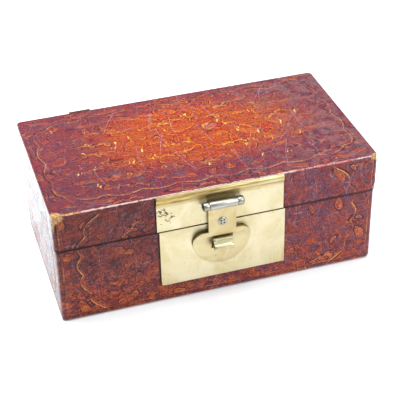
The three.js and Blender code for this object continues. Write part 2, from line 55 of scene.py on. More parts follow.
CELL = 0.72  # spacing of the leather's mesh
CORNER_CELLS = 4  # cells from each side into a round corner
CORNER_RADIUS = 3.0
ARRIS = 1.2  # rounding of the lid's top edges
LEATHER = 1.0
RIM_WIDTH = 5.1  # the leather is folded in over the rim as far as the board's inner face
TURN_IN = 10.0  # and in under the floor
TIGHTEST = 0.3  # smallest corner radius of an inset outline
BRASS = 0.9
CARD_ROUNDING = 0.35
PLATE_ROUNDING = 0.22


def box_mm(node):
    low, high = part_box(node)
    return np.array(low) / MM, np.array(high) / MM


BASE_LOW, BASE_HIGH = box_mm("base_leather")
LID_LOW, LID_HIGH = box_mm("lid_leather")
RIM_Z = BASE_HIGH[2]
LID_RIM_Z = LID_LOW[2]
TOP_Z = LID_HIGH[2]
SEAM_Z = (RIM_Z + LID_RIM_Z) / 2
PLATES = [box_mm("lock_plate"), box_mm("lid_plate")]

# ---------------------------------------------------------------- numbers over a surface


def smooth(x, low, high):
    """0 below low, 1 above high, and an easy curve between."""
    t = np.clip((x - low) / (high - low), 0, 1)
    return t * t * (3 - 2 * t)


def bump(x, centre, width):
    return np.exp(-(((x - centre) / width) ** 2))


def lattice(i, j, seed):
    """A steady random number from 0 to 1 for each pair of whole numbers."""
    n = (i * 374761393 + j * 668265263 + seed * 974634777) & 0xFFFFFFFF
    n = ((n ^ (n >> 13)) * 1274126177) & 0xFFFFFFFF
    return ((n ^ (n >> 16)) & 0xFFFF) / 65535.0


def noise(a, b, size, seed):
    """Smooth random numbers from 0 to 1, with lumps of about that size."""
    u, v = a / size, b / size
    i, j = np.floor(u).astype(np.int64), np.floor(v).astype(np.int64)
    fu, fv = u - i, v - j
    fu, fv = fu * fu * (3 - 2 * fu), fv * fv * (3 - 2 * fv)
    low = lattice(i, j, seed) * (1 - fu) + lattice(i + 1, j, seed) * fu
    high = lattice(i, j + 1, seed) * (1 - fu) + lattice(i + 1, j + 1, seed) * fu
    return low * (1 - fv) + high * fv


def cloudy(a, b, size, seed, octaves=3):
    total, weight = 0, 0
    for k in range(octaves):
        total = total + noise(a, b, size / 2**k, seed + 17 * k) / 2**k
        weight += 1 / 2**k
    return total / weight


def to_path(a, b, path):
    """Distance to a path of points, above zero on its left and below zero on its right."""
    best, side = np.full(a.shape, 1e9), np.ones(a.shape)
    for (x0, y0), (x1, y1) in zip(path[:-1], path[1:]):
        dx, dy = x1 - x0, y1 - y0
        t = np.clip(((a - x0) * dx + (b - y0) * dy) / (dx * dx + dy * dy + 1e-9), 0, 1)
        ex, ey = a - x0 - t * dx, b - y0 - t * dy
        d = ex * ex + ey * ey
        near = d < best
        best = np.where(near, d, best)
        side = np.where(near, np.where(dx * ey - dy * ex < 0, -1.0, 1.0), side)
    return np.sqrt(best) * side


def rounded(points):
    """A path with its corners cut twice, so that it runs in curves."""
    pts = [np.array(p, float) for p in points]
    for _ in range(2):
        pairs = zip(pts[:-1], pts[1:])
        new = [q for p0, p1 in pairs for q in (0.75 * p0 + 0.25 * p1, 0.25 * p0 + 0.75 * p1)]
        pts = [pts[0], *new, pts[-1]]
    return pts


# ---------------------------------------------------------------- the tooled design

# Scalloped panel on an upright side: how far its ends stand in from the corners
SIDE_WAIST = 12.0  # at mid-height, where the panel is widest
SIDE_SWEEP = 13.0  # further in at its top and bottom
SIDE_MARGIN = 4.0  # clear of the top and bottom edges
SIDE_LOBES = 5
SIDE_CUSP = 3.0
# Scalloped panel on the lid's top: a blunt oblong, in from the ends and from the long edges
TOP_INSET = (5.5, 8.5)
TOP_SQUARENESS = 6
TOP_LOBES = 24
TOP_CUSP = 3.0
POINTS_PER_LOBE = 7
BORDER = 3.2  # tooled border line in from each upright corner and from the bottom edge

# Gilt sprigs, scattered over the middle of the top on a loose grid
GILT_REACH = (80.0, 32.0)
GILT_SPACING = 16.0
GILT_SHARE = 0.6  # of the grid's places that hold a sprig
SCRATCH_COUNT = 20
GLOW_MIDDLE = (4.0, 8.0)  # where the top's colour is warmest, and how far that reaches
GLOW_REACH = (79.0, 42.0)

MOTIF_SPACING = 16.0
MOTIF_REACH = 13.0

FACE_SEEDS = {"top": 11, "front": 23, "back": 37, "left": 53, "right": 71}

# The numbers that the leather's material reads, and what each one is off the tooled faces
FIELDS = {"motif": -4.0, "line": 8.0, "border": 8.0, "contour": 0.0, "gilt": -5.0,
          "scratch": 6.0, "warmth": 0.1, "gap_shade": 0.0}


def cusps(share, lobes, depth):
    """How far a scalloped line dips in: nothing at each lobe's crown, depth at each cusp."""
    return depth * (1 - np.abs(np.sin(math.pi * lobes * share)))


def side_panel(half):
    """The scalloped panel's two ends on an upright side, each with the panel on its left."""
    share = np.linspace(0, 1, SIDE_LOBES * POINTS_PER_LOBE + 1)
    height = TOP_Z - SIDE_MARGIN + (2 * SIDE_MARGIN - TOP_Z) * share
    inset = SIDE_WAIST + SIDE_SWEEP * np.abs(2 * share - 1) ** 2.4
    inset = inset + cusps(share, SIDE_LOBES, SIDE_CUSP)
    left = list(zip(inset - half, height))
    right = list(zip(half - inset, height))[::-1]
    return [left, right]


def top_panel(half_x, half_y):
    """A blunt oblong, scalloped all round, drawn anticlockwise."""
    turn = np.linspace(0, 2 * math.pi, 721)
    cos, sin = np.cos(turn), np.sin(turn)
    x = (half_x - TOP_INSET[0]) * np.sign(cos) * np.abs(cos) ** (2 / TOP_SQUARENESS)
    y = (half_y - TOP_INSET[1]) * np.sign(sin) * np.abs(sin) ** (2 / TOP_SQUARENESS)
    run = np.concatenate([[0], np.cumsum(np.hypot(np.diff(x), np.diff(y)))])
    share = np.linspace(0, 1, TOP_LOBES * POINTS_PER_LOBE + 1)
    x, y = np.interp(share * run[-1], run, x), np.interp(share * run[-1], run, y)
    dx, dy = np.gradient(x), np.gradient(y)
    dip = cusps(share, TOP_LOBES, TOP_CUSP) / np.hypot(dx, dy)
    return [list(zip(x - dip * dy, y + dip * dx))]


def stamp(rng, kind, u, v, scale):
    """Distance inside a motif's outline, around its own middle. Above zero is inside."""
    size = scale * rng.uniform(0.5, 1.25)
    if kind == "leaf":
        length, width = 5.2 * size, 2.1 * size
        bend = 0.05 * rng.choice([-1, 1])
        return (1 - np.hypot(u / length, (v + bend * u * u - 0.5) / width)) * width
    if kind == "drop":
        width = 2.6 * size * (1 - 0.55 * smooth(v, -1, 5 * size))
        return (1 - np.hypot(u / width, (v - 1) / (4.4 * size))) * width
    if kind == "cloud":
        inside = np.full(u.shape, -1e9)
        for k in range(rng.integers(3, 6)):
            x, y, r = (k - 2) * 2.3 * size, rng.uniform(-1.2, 1.2), rng.uniform(1.5, 2.6) * size
            inside = np.maximum(inside, r - np.hypot(u - x, v - y))
        return inside
    if kind == "rock":
        turn = np.arctan2(v, u)
        lumps = 0.22 * np.sin(3 * turn + rng.uniform(0, 6)) + 0.1 * np.sin(7 * turn)
        return (3.4 * size * (1 + lumps) - np.hypot(u, v * 1.5)) * 0.8
    inside = 0.45 - np.abs(v - 1.6 * np.sin(u / 3.0)) - np.maximum(np.abs(u) - 7, 0)
    for k in range(-2, 3):  # a frond: leaves in turn on both sides of a stem
        x, side = k * 3.0, 1 if k % 2 else -1
        y = 1.6 * math.sin(x / 3.0) + side * 1.7
        along, across = (u - x) * 0.8 + (v - y) * 0.6 * side, (v - y) * 0.8 - (u - x) * 0.6 * side
        inside = np.maximum(inside, (1 - np.hypot(along / 2.2, across / 0.95)) * 0.95)
    return inside


def motifs(a, b, limits, line, seed, squash, share, scale):
    """Scattered motifs over a face: clouds, rocks, leaves, drops and fronds."""
    rng = np.random.default_rng(seed)
    wide = (a + 1.9 * (noise(a, b, 5, seed) - 0.5) + 3 * (noise(a, b, 13, seed + 1) - 0.5))
    tall = (b + 1.9 * (noise(a, b, 5, seed + 2) - 0.5) + 3 * (noise(a, b, 13, seed + 3) - 0.5))
    field = np.full(a.shape, -MOTIF_REACH)
    low_a, high_a, low_b, high_b = limits
    row = 0
    for y in np.arange(low_b, high_b, MOTIF_SPACING * 0.8):
        row += 1
        for x in np.arange(low_a + (row % 2) * MOTIF_SPACING / 2, high_a, MOTIF_SPACING):
            cx, cy = x + rng.uniform(-3, 3), y + rng.uniform(-2.4, 2.4)
            kind = rng.choice(["leaf", "drop", "cloud", "rock", "frond"],
                              p=[0.24, 0.14, 0.26, 0.18, 0.18])
            turn = rng.uniform(-0.6, 0.6) + (rng.uniform(0, math.pi) if kind == "leaf" else 0)
            close = np.hypot(a - cx, b - cy) < MOTIF_REACH
            du, dv = (wide[close] - cx) / squash, (tall[close] - cy) * squash
            u = du * math.cos(turn) + dv * math.sin(turn)
            v = dv * math.cos(turn) - du * math.sin(turn)
            inside = stamp(rng, kind, u, v, scale)
            if rng.random() > share:
                continue
            field[close] = np.maximum(field[close], inside)
    return np.minimum(field, np.abs(line) - 1.6)


def gilt_sprigs(x, y, seed):
    """Distance inside short gilt strokes, three to a sprig."""
    rng = np.random.default_rng(seed)
    field = np.full(x.shape, FIELDS["gilt"])
    places = [(px, py) for px in np.arange(-GILT_REACH[0], GILT_REACH[0] + 1, GILT_SPACING)
              for py in np.arange(-GILT_REACH[1], GILT_REACH[1] + 1, GILT_SPACING)]
    for px, py in places:
        cx, cy = px + rng.uniform(-7, 7), py + rng.uniform(-6, 6)
        for _ in range(3 if rng.random() < GILT_SHARE else 0):
            lean, length = rng.uniform(-0.5, 0.5), rng.uniform(0.8, 2.0)
            px, py = cx + rng.uniform(-1.7, 1.7), cy + rng.uniform(-1.6, 1.6)
            dx, dy = length * math.sin(lean), length * math.cos(lean)
            stroke = np.abs(to_path(x, y, [(px - dx, py - dy), (px + dx, py + dy)]))
            field = np.maximum(field, rng.uniform(0.15, 0.4) - stroke)
    return field


def scratches(x, y, half_x, half_y, seed):
    """Distance to the nearest of the long bowed scratches that run across the top."""
    rng = np.random.default_rng(seed)
    nearest = np.full(x.shape, FIELDS["scratch"])
    for _ in range(SCRATCH_COUNT):
        x0, y0 = half_x * rng.uniform(-0.9, 0.9), half_y * rng.uniform(-0.5, 0.95)
        length, lean = rng.uniform(12, 28), rng.normal(-0.25, 0.45)
        x1, y1 = x0 + length * math.sin(lean), y0 - length * math.cos(lean)
        bow = (x0 + x1) / 2 + 0.05 * (y1 - y0), (y0 + y1) / 2
        d = to_path(x, y, rounded([(x0, y0), bow, (x1, y1)]))
        nearest = np.where(np.abs(d) < np.abs(nearest), d, nearest)
    return nearest


def face_design(face, a, b, half):
    """Every number of the design on one face of the case. Walls take b as height."""
    seed = FACE_SEEDS[face]
    design = {key: np.full(a.shape, FIELDS[key]) for key in ("gilt", "scratch", "gap_shade")}
    wobble = 0.35 * (noise(a, b, 6, seed + 5) - 0.5)
    if face == "top":
        paths, other = top_panel(LID_HIGH[0], LID_HIGH[1]), LID_HIGH[1]
        edge = np.minimum(half - np.abs(a), other - np.abs(b))
        limits = (-half + 8, half - 6, -other + 6, other - 4)
        border = np.full(a.shape, 9.0)
    else:
        paths = side_panel(half)
        edge = np.minimum(half - np.abs(a), np.minimum(b - BASE_LOW[2], TOP_Z - b))
        limits = (-half + 7, half - 5, 8, TOP_Z)
        border = np.minimum(half - np.abs(a), b - BASE_LOW[2]) - BORDER + wobble
    line = np.full(a.shape, 1e9)
    for path in paths:
        d = to_path(a + wobble, b - wobble, path)
        line = np.where(np.abs(d) < np.abs(line), d, line)
    design["line"] = np.clip(line, -8, 8)
    design["border"] = np.clip(border, -8, 8)
    clear = np.minimum(np.abs(line), np.abs(border) + 0.6)
    squash, share, scale = (1.45, 0.9, 1.2) if face == "top" else (1.1, 0.5, 1.0)
    design["motif"] = np.clip(motifs(a, b, limits, clear, seed, squash, share, scale), -4, 4)
    drift = cloudy(a, b, 9, seed + 31, 2)
    squeeze = (a, b * 1.7) if face == "top" else (a * 1.7, b * 0.7)
    design["contour"] = 9 * cloudy(squeeze[0] + 7 * drift, squeeze[1], 17, seed + 41, 2)
    design["warmth"] = 0.25 * cloudy(a, b, 22, seed + 61, 2)
    if face == "top":
        design["gilt"] = gilt_sprigs(a, b, seed + 70)
        design["scratch"] = scratches(a, b, half, other, seed + 80)
        spread = (((a - GLOW_MIDDLE[0]) / GLOW_REACH[0]) ** 2
                  + ((b - GLOW_MIDDLE[1]) / GLOW_REACH[1]) ** 2)
        design["warmth"] = np.exp(-(spread**1.5)) + 0.30 * (cloudy(a, b, 14, seed + 61) - 0.5)
    else:
        # Painted shade along the line where lid meets base
        design["gap_shade"] = smooth(np.abs(b - SEAM_Z), 1.25, 0.6)
        design["warmth"] += 0.35 * smooth(26 - b, 0, 18) * cloudy(a, b, 14, seed + 63)
    if face == "front":
        # Painted shade round the brass plates, where they stand on the leather
        for low, high in PLATES:
            beyond = np.maximum(np.maximum(low[0] - a, a - high[0]),
                                np.maximum(low[2] - b, b - high[2]))
            design["gap_shade"] = np.maximum(design["gap_shade"], bump(np.maximum(beyond, 0), 0, 0.6))
    ripple = np.abs(design["contour"] % 1 - 0.5) * 2
    quiet = smooth(design["motif"], 0.6, -0.6) * smooth(np.abs(line), 1.0, 2.2)
    height = 0.20 * smooth(design["motif"], -0.1, 0.8) - 0.20 * bump(design["motif"], -0.45, 0.5)
    height += 0.28 * bump(line, 0.45, 0.5) - 0.26 * bump(line, -0.55, 0.5)
    height += 0.14 * bump(border, 0.5, 0.45) - 0.2 * bump(border, -0.35, 0.45)
    height -= 0.12 * quiet * smooth(ripple, 0.62, 0.95)
    height += 0.10 * (noise(a, b, 2.1, seed + 90) - 0.5) + 0.25 * (noise(a, b, 24, seed + 91) - 0.5)
    height -= 0.05 * smooth(0.5 - np.abs(design["scratch"]), 0, 0.5)
    fade = smooth(edge, 0.2, 2.6)
    if face != "top":
        fade = fade * smooth(np.abs(b - SEAM_Z), 0.6, 1.6)
    design["height"] = np.clip(height - 0.12, -0.5, 0.22) * fade
    if face == "front":
        pressed = np.minimum(design["height"], 0)
        design["height"] = np.where(design["gap_shade"] > 0.2, pressed, design["height"])
    return design



# Where the leather is worn through: middle, reach, and how much. Millimetres.
CORNER_X, CORNER_Y = LID_HIGH[0], LID_HIGH[1]
BARE_SPOTS = [
    ((-CORNER_X, -CORNER_Y, TOP_Z), (10.0, 5.5, 8.0), 1.15),
    ((-CORNER_X, -CORNER_Y, TOP_Z - 9), (2.2, 2.2, 9.0), 0.95),
    ((12 - CORNER_X, -CORNER_Y, TOP_Z), (12.0, 1.6, 1.6), 0.9),
    ((CORNER_X, -CORNER_Y, TOP_Z - 1), (6.5, 4.2, 4.0), 1.2),
    ((CORNER_X, -CORNER_Y, SEAM_Z + 2), (3.6, 3.6, 3.6), 1.05),
    ((CORNER_X, -CORNER_Y, SEAM_Z + 11), (2.2, 2.2, 6.5), 0.75),
    ((CORNER_X, -CORNER_Y, 1), (5.0, 3.0, 2.4), 1.0),
    ((-CORNER_X, -CORNER_Y, 1), (3.0, 3.0, 1.8), 0.8),
    ((CORNER_X, CORNER_Y, TOP_Z), (3.0, 3.0, 2.0), 0.8),
    ((-CORNER_X, CORNER_Y, TOP_Z), (2.6, 2.6, 2.0), 0.7),
]


def wear(p):
    """How rubbed the edges are, and how bare the corners, at points of the cover."""
    x, y, z = p.T
    dx, dy = LID_HIGH[0] - np.abs(x), LID_HIGH[1] - np.abs(y)
    from_top = TOP_Z - z
    ragged = 0.75 + 0.7 * noise(x, y, 2.3, 5) + 0.5 * noise(x, y, 9, 6)

    def near(a, b, reach):
        """1 on the edge where a and b are both nothing, falling off away from it."""
        return np.exp(-(np.hypot(np.minimum(a, 6), np.minimum(b, 6)) / reach) ** 2)

    rub = near(dy, from_top, 0.66 * ragged) * np.where(y < 0, 1.15, 0.5)
    for a, b, reach, much in ((dx, from_top, 0.8 * ragged, 0.5), (dx, dy, 1.6, 0.42),
                              (np.minimum(dx, dy), z - BASE_LOW[2], ragged, 0.45)):
        rub = np.maximum(rub, much * near(a, b, reach))
    bare = np.zeros(len(p))
    for middle, reach, much in BARE_SPOTS:
        away = np.sqrt((((p - middle) / reach) ** 2).sum(1))
        bare = np.maximum(bare, much * smooth(away, 1.35, 0.2))
    return rub, bare


# ---------------------------------------------------------------- meshes


def added(name, data):
    """A new object in the scene."""
    obj = bpy.data.objects.new(name, data)
    bpy.context.scene.collection.objects.link(obj)
    return obj


def write_fields(mesh, fields):
    for key, values in fields.items():
        attribute = mesh.attributes.new(key, "FLOAT", "POINT")
        attribute.data.foreach_set("value", np.asarray(values, np.float32))


def mesh_object(name, points, faces, fields=None):
    """A smooth-shaded object from points in millimetres."""
    mesh = bpy.data.meshes.new(name)
    mesh.from_pydata((np.asarray(points) * MM).tolist(), [], faces)
    mesh.update()
    mesh.polygons.foreach_set("use_smooth", [True] * len(mesh.polygons))
    write_fields(mesh, fields or {})
    return added(name, mesh)


def stations(half, radius, cells):
    """Places across a side from -half to half, close together in its corners."""
    corner = np.linspace(0, radius, CORNER_CELLS + 1)
    middle = np.linspace(radius - half, half - radius, cells + 1)
    return np.concatenate([corner[:-1] - half, middle, half - corner[-2::-1]])


def round_off(x, y, half_x, half_y, radius):
    """Moves points of a square-cornered outline, or inside it, onto the round-cornered one."""
    ax, ay = np.abs(x) - (half_x - radius), np.abs(y) - (half_y - radius)
    corner = (ax > 0) & (ay > 0)
    ratio = np.where(corner, np.maximum(ax, ay) / np.maximum(np.hypot(ax, ay), 1e-9), 1)
    new_x = np.where(corner, half_x - radius + ax * ratio, np.abs(x))
    new_y = np.where(corner, half_y - radius + ay * ratio, np.abs(y))
    return np.sign(x) * new_x, np.sign(y) * new_y


class Outline:
    """A round-cornered rectangle that can be drawn at any inset with the same stations."""

    def __init__(self, half_x, half_y):
        self.half = (half_x, half_y)
        straight = [2 * (h - CORNER_RADIUS) for h in self.half]
        self.cells = [round(s / CELL) for s in straight]
        self.count = 2 * sum(c + 2 * CORNER_CELLS for c in self.cells)

    def sides(self, inset):
        radius = max(CORNER_RADIUS - inset, TIGHTEST)
        halves = [h - inset for h in self.half]
        return halves, radius, [stations(h, radius, c) for h, c in zip(halves, self.cells)]

    def ring(self, inset, z):
        (hx, hy), radius, (xs, ys) = self.sides(inset)
        x = np.concatenate([xs[:-1], np.full(len(ys) - 1, hx), xs[:0:-1], np.full(len(ys) - 1, -hx)])
        y = np.concatenate([np.full(len(xs) - 1, -hy), ys[:-1], np.full(len(xs) - 1, hy), ys[:0:-1]])
        x, y = round_off(x, y, hx, hy, radius)
        return np.stack([x, y, np.full(len(x), z)], 1)

    def sheet(self, inset, z):
        """A grid that fills the outline, with the ring's own points around its edge."""
        (hx, hy), radius, (xs, ys) = self.sides(inset)
        gx, gy = np.meshgrid(xs, ys)
        x, y = round_off(gx.ravel(), gy.ravel(), hx, hy, radius)
        return np.stack([x, y, np.full(len(x), z)], 1), len(xs), len(ys)


def arc(inset, z, radius, start, end, steps):
    """Profile points round a quarter: inset and height, from one angle to another."""
    turns = np.linspace(math.radians(start), math.radians(end), steps + 1)
    return [(inset - radius * math.cos(t), z + radius * math.sin(t)) for t in turns]


def span(start, end, steps):
    """Profile points between two others, without them."""
    return [tuple(np.array(start) + (np.array(end) - start) * k / steps) for k in range(1, steps)]


def hoop_faces(rows, count, closed):
    """Faces between rings of the same number of points."""
    faces = []
    last = rows if closed else rows - 1
    for r in range(last):
        a, b = r * count, (r + 1) % rows * count
        faces += [(a + i, a + (i + 1) % count, b + (i + 1) % count, b + i) for i in range(count)]
    return faces


def boundary_index(nx, ny):
    """Grid indices in the order of Outline.ring."""
    front = list(range(nx - 1))
    right = [j * nx + nx - 1 for j in range(ny - 1)]
    back = [(ny - 1) * nx + i for i in range(nx - 1, 0, -1)]
    left = [j * nx for j in range(ny - 1, 0, -1)]
    return front + right + back + left


def tool_surface(points, normals, outer, half_x, half_y):
    """Presses the design into the cover, and returns the fields for its material."""
    fields = {key: np.full(len(points), value) for key, value in FIELDS.items()}
    x, y, z = points.T
    nx, ny, nz = normals.T
    upright = outer & (np.abs(nz) < 0.72)
    faces = {
        "top": (outer & (nz >= 0.72) & (z > SEAM_Z + 2), x, y, LID_HIGH[0]),
        "front": (upright & (ny < 0) & (np.abs(ny) >= np.abs(nx)), x, z, half_x),
        "back": (upright & (ny > 0) & (np.abs(ny) >= np.abs(nx)), -x, z, half_x),
        "right": (upright & (nx > 0) & (np.abs(nx) > np.abs(ny)), y, z, half_y),
        "left": (upright & (nx < 0) & (np.abs(nx) > np.abs(ny)), -y, z, half_y),
    }
    lift = np.zeros(len(points))
    for face, (here, a, b, half) in faces.items():
        if here.any():
            design = face_design(face, a[here], b[here], half)
            for key in FIELDS:
                fields[key][here] = design[key]
            lift[here] = design["height"]
    fields["rub"], fields["bare"] = wear(points)
    ragged = noise(x + z, y - z, 1.6, 8) + 0.5 * noise(x + z, y - z, 0.8, 9)
    lift -= 0.4 * smooth(fields["bare"], 0.35, 0.9) * ragged * outer
    lift -= 0.16 * smooth(fields["rub"], 0.3, 1.0) * ragged * outer
    return points + normals * lift[:, None], fields


def leather_cover(name, node, body, profile, outer_rows, half_x, half_y, top_rows):
    """A folded leather cover: a profile carried round the case, with a lid top if it has one."""
    outline = Outline(half_x, half_y)
    count = outline.count
    points = np.concatenate([outline.ring(inset, z) for inset, z in profile])
    outer = np.repeat([row in outer_rows for row in range(len(profile))], count)
    if top_rows:
        faces = hoop_faces(len(profile), count, closed=False)
        sheet, nx, ny = outline.sheet(*profile[-1])
        edge = boundary_index(nx, ny)
        where = np.full(nx * ny, -1)
        where[edge] = (len(profile) - 1) * count + np.arange(count)
        inner = where < 0
        where[inner] = len(points) + np.arange(inner.sum())
        points = np.concatenate([points, sheet[inner]])
        outer = np.concatenate([outer, np.ones(inner.sum(), bool)])
        cells = (np.arange(ny - 1)[:, None] * nx + np.arange(nx - 1)[None, :]).ravel()
        corners = [cells, cells + 1, cells + nx + 1, cells + nx]
        faces += list(zip(*[where[c].tolist() for c in corners]))
        faces.append(tuple(range(count - 1, -1, -1)))  # the ceiling behind the lid's top
    else:
        faces = hoop_faces(len(profile), count, closed=True)
    obj = mesh_object(name, points, faces)
    if sum_volume(points, faces) < 0:
        obj.data.flip_normals()
    normals = np.zeros(len(points) * 3, np.float32)
    obj.data.vertex_normals.foreach_get("vector", normals)
    moved, fields = tool_surface(points, normals.reshape(-1, 3), outer, half_x, half_y)
    obj.data.vertices.foreach_set("co", (moved * MM).astype(np.float32).ravel())
    write_fields(obj.data, fields)
    obj.data.update()
    settle(obj, body, node, "leather")


def sum_volume(points, faces):
    quads = np.array([f for f in faces if len(f) == 4])
    a, b, c, d = (points[quads[:, k]] for k in range(4))
    return float((np.cross(b - a, c - a) * a).sum() + (np.cross(c - a, d - a) * a).sum())


def outward(points, faces):
    return [tuple(reversed(f)) for f in faces] if sum_volume(points, faces) < 0 else faces


def dress(obj, look):
    obj.data.materials.clear()
    obj.data.materials.append(MATERIALS[look])


def settle(obj, body, node, slot, look=None):
    """Sets a piece on its body in place of a CAD node, dressed in the look given, or else in the look
    named by its slot.
    """
    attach(obj, body)
    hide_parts(node)
    dress(obj, look or slot)


def base_cover():
    half_x, half_y, floor, rim = BASE_HIGH[0], BASE_HIGH[1], BASE_LOW[2], RIM_Z
    fold, foot = 0.8, 1.0
    inside = [(RIM_WIDTH, rim - LEATHER), (RIM_WIDTH, rim - 0.3), (RIM_WIDTH - 0.3, rim)]
    flat = span(inside[-1], (fold, rim), 4)
    lip = arc(fold, rim - fold, fold, 90, 0, 3)
    wall = span(lip[-1], (0, floor + foot), 72)
    bend = arc(foot, floor + foot, foot, 0, -90, 3)
    under = span(bend[-1], (TURN_IN, floor), 5) + [(TURN_IN, floor), (TURN_IN, floor + LEATHER)]
    lining = [(LEATHER + 0.2, floor + LEATHER), (LEATHER, floor + LEATHER + 1),
              (LEATHER, rim - LEATHER)]
    profile = inside + flat + lip + wall + bend + under + lining
    first = len(inside) + len(flat)
    outer_rows = range(first, first + len(lip) + len(wall) + len(bend))
    leather_cover("base_leather_cover", "base_leather", "base", profile, outer_rows,
                  half_x, half_y, top_rows=False)


def lid_cover():
    half_x, half_y, rim, top = LID_HIGH[0], LID_HIGH[1], LID_RIM_Z, TOP_Z
    fold = 0.6
    inside = [(LEATHER, top - LEATHER), (LEATHER, rim + LEATHER), (RIM_WIDTH, rim + LEATHER),
              (RIM_WIDTH, rim + 0.2), (RIM_WIDTH - 0.2, rim)]
    flat = span(inside[-1], (fold, rim), 4)
    lip = arc(fold, rim + fold, fold, -90, 0, 3)
    wall = span(lip[-1], (0, top - ARRIS), 35)
    bend = arc(ARRIS, top - ARRIS, ARRIS, 0, 90, 4)
    profile = inside + flat + lip + wall + bend
    first = len(inside) + len(flat)
    leather_cover("lid_leather_cover", "lid_leather", "lid", profile,
                  range(first, len(profile)), half_x, half_y, top_rows=True)


def slab(name, low, high, radius, cells, shape):
    """A sheet or card with rounded edges, as a grid over its six sides."""
    low, high = np.array(low, float), np.array(high, float)
    lines = [np.concatenate([
        [lo, lo + 0.35 * radius], np.linspace(lo + radius, hi - radius, n + 1),
        [hi - 0.35 * radius, hi]]) for lo, hi, n in zip(low, high, cells)]
    last = [len(v) - 1 for v in lines]
    index, points, faces = {}, [], []

    def at(*ijk):
        if ijk not in index:
            index[ijk] = len(points)
            points.append([lines[k][ijk[k]] for k in range(3)])
        return index[ijk]

    for axis in range(3):
        u, v = (axis + 1) % 3, (axis + 2) % 3
        for end in (0, last[axis]):
            for i in range(last[u]):
                for j in range(last[v]):
                    corners = []
                    for di, dj in ((0, 0), (1, 0), (1, 1), (0, 1)):
                        ijk = [0, 0, 0]
                        ijk[axis], ijk[u], ijk[v] = end, i + di, j + dj
                        corners.append(at(*ijk))
                    faces.append(tuple(corners if end else corners[::-1]))
    points = np.array(points)
    inner = np.clip(points, low + radius, high - radius)
    away = points - inner
    length = np.linalg.norm(away, axis=1, keepdims=True)
    points = inner + away * radius / np.maximum(length, 1e-9)
    points, fields = shape(points)
    return mesh_object(name, points, faces, fields)


# ---------------------------------------------------------------- material graphs


def colour(code):
    """A colour as Blender wants it, from its usual screen code."""
    parts = [int(code[i:i + 2], 16) / 255 for i in (0, 2, 4)]
    return (*[c / 12.92 if c <= 0.04045 else ((c + 0.055) / 1.055) ** 2.4 for c in parts], 1)


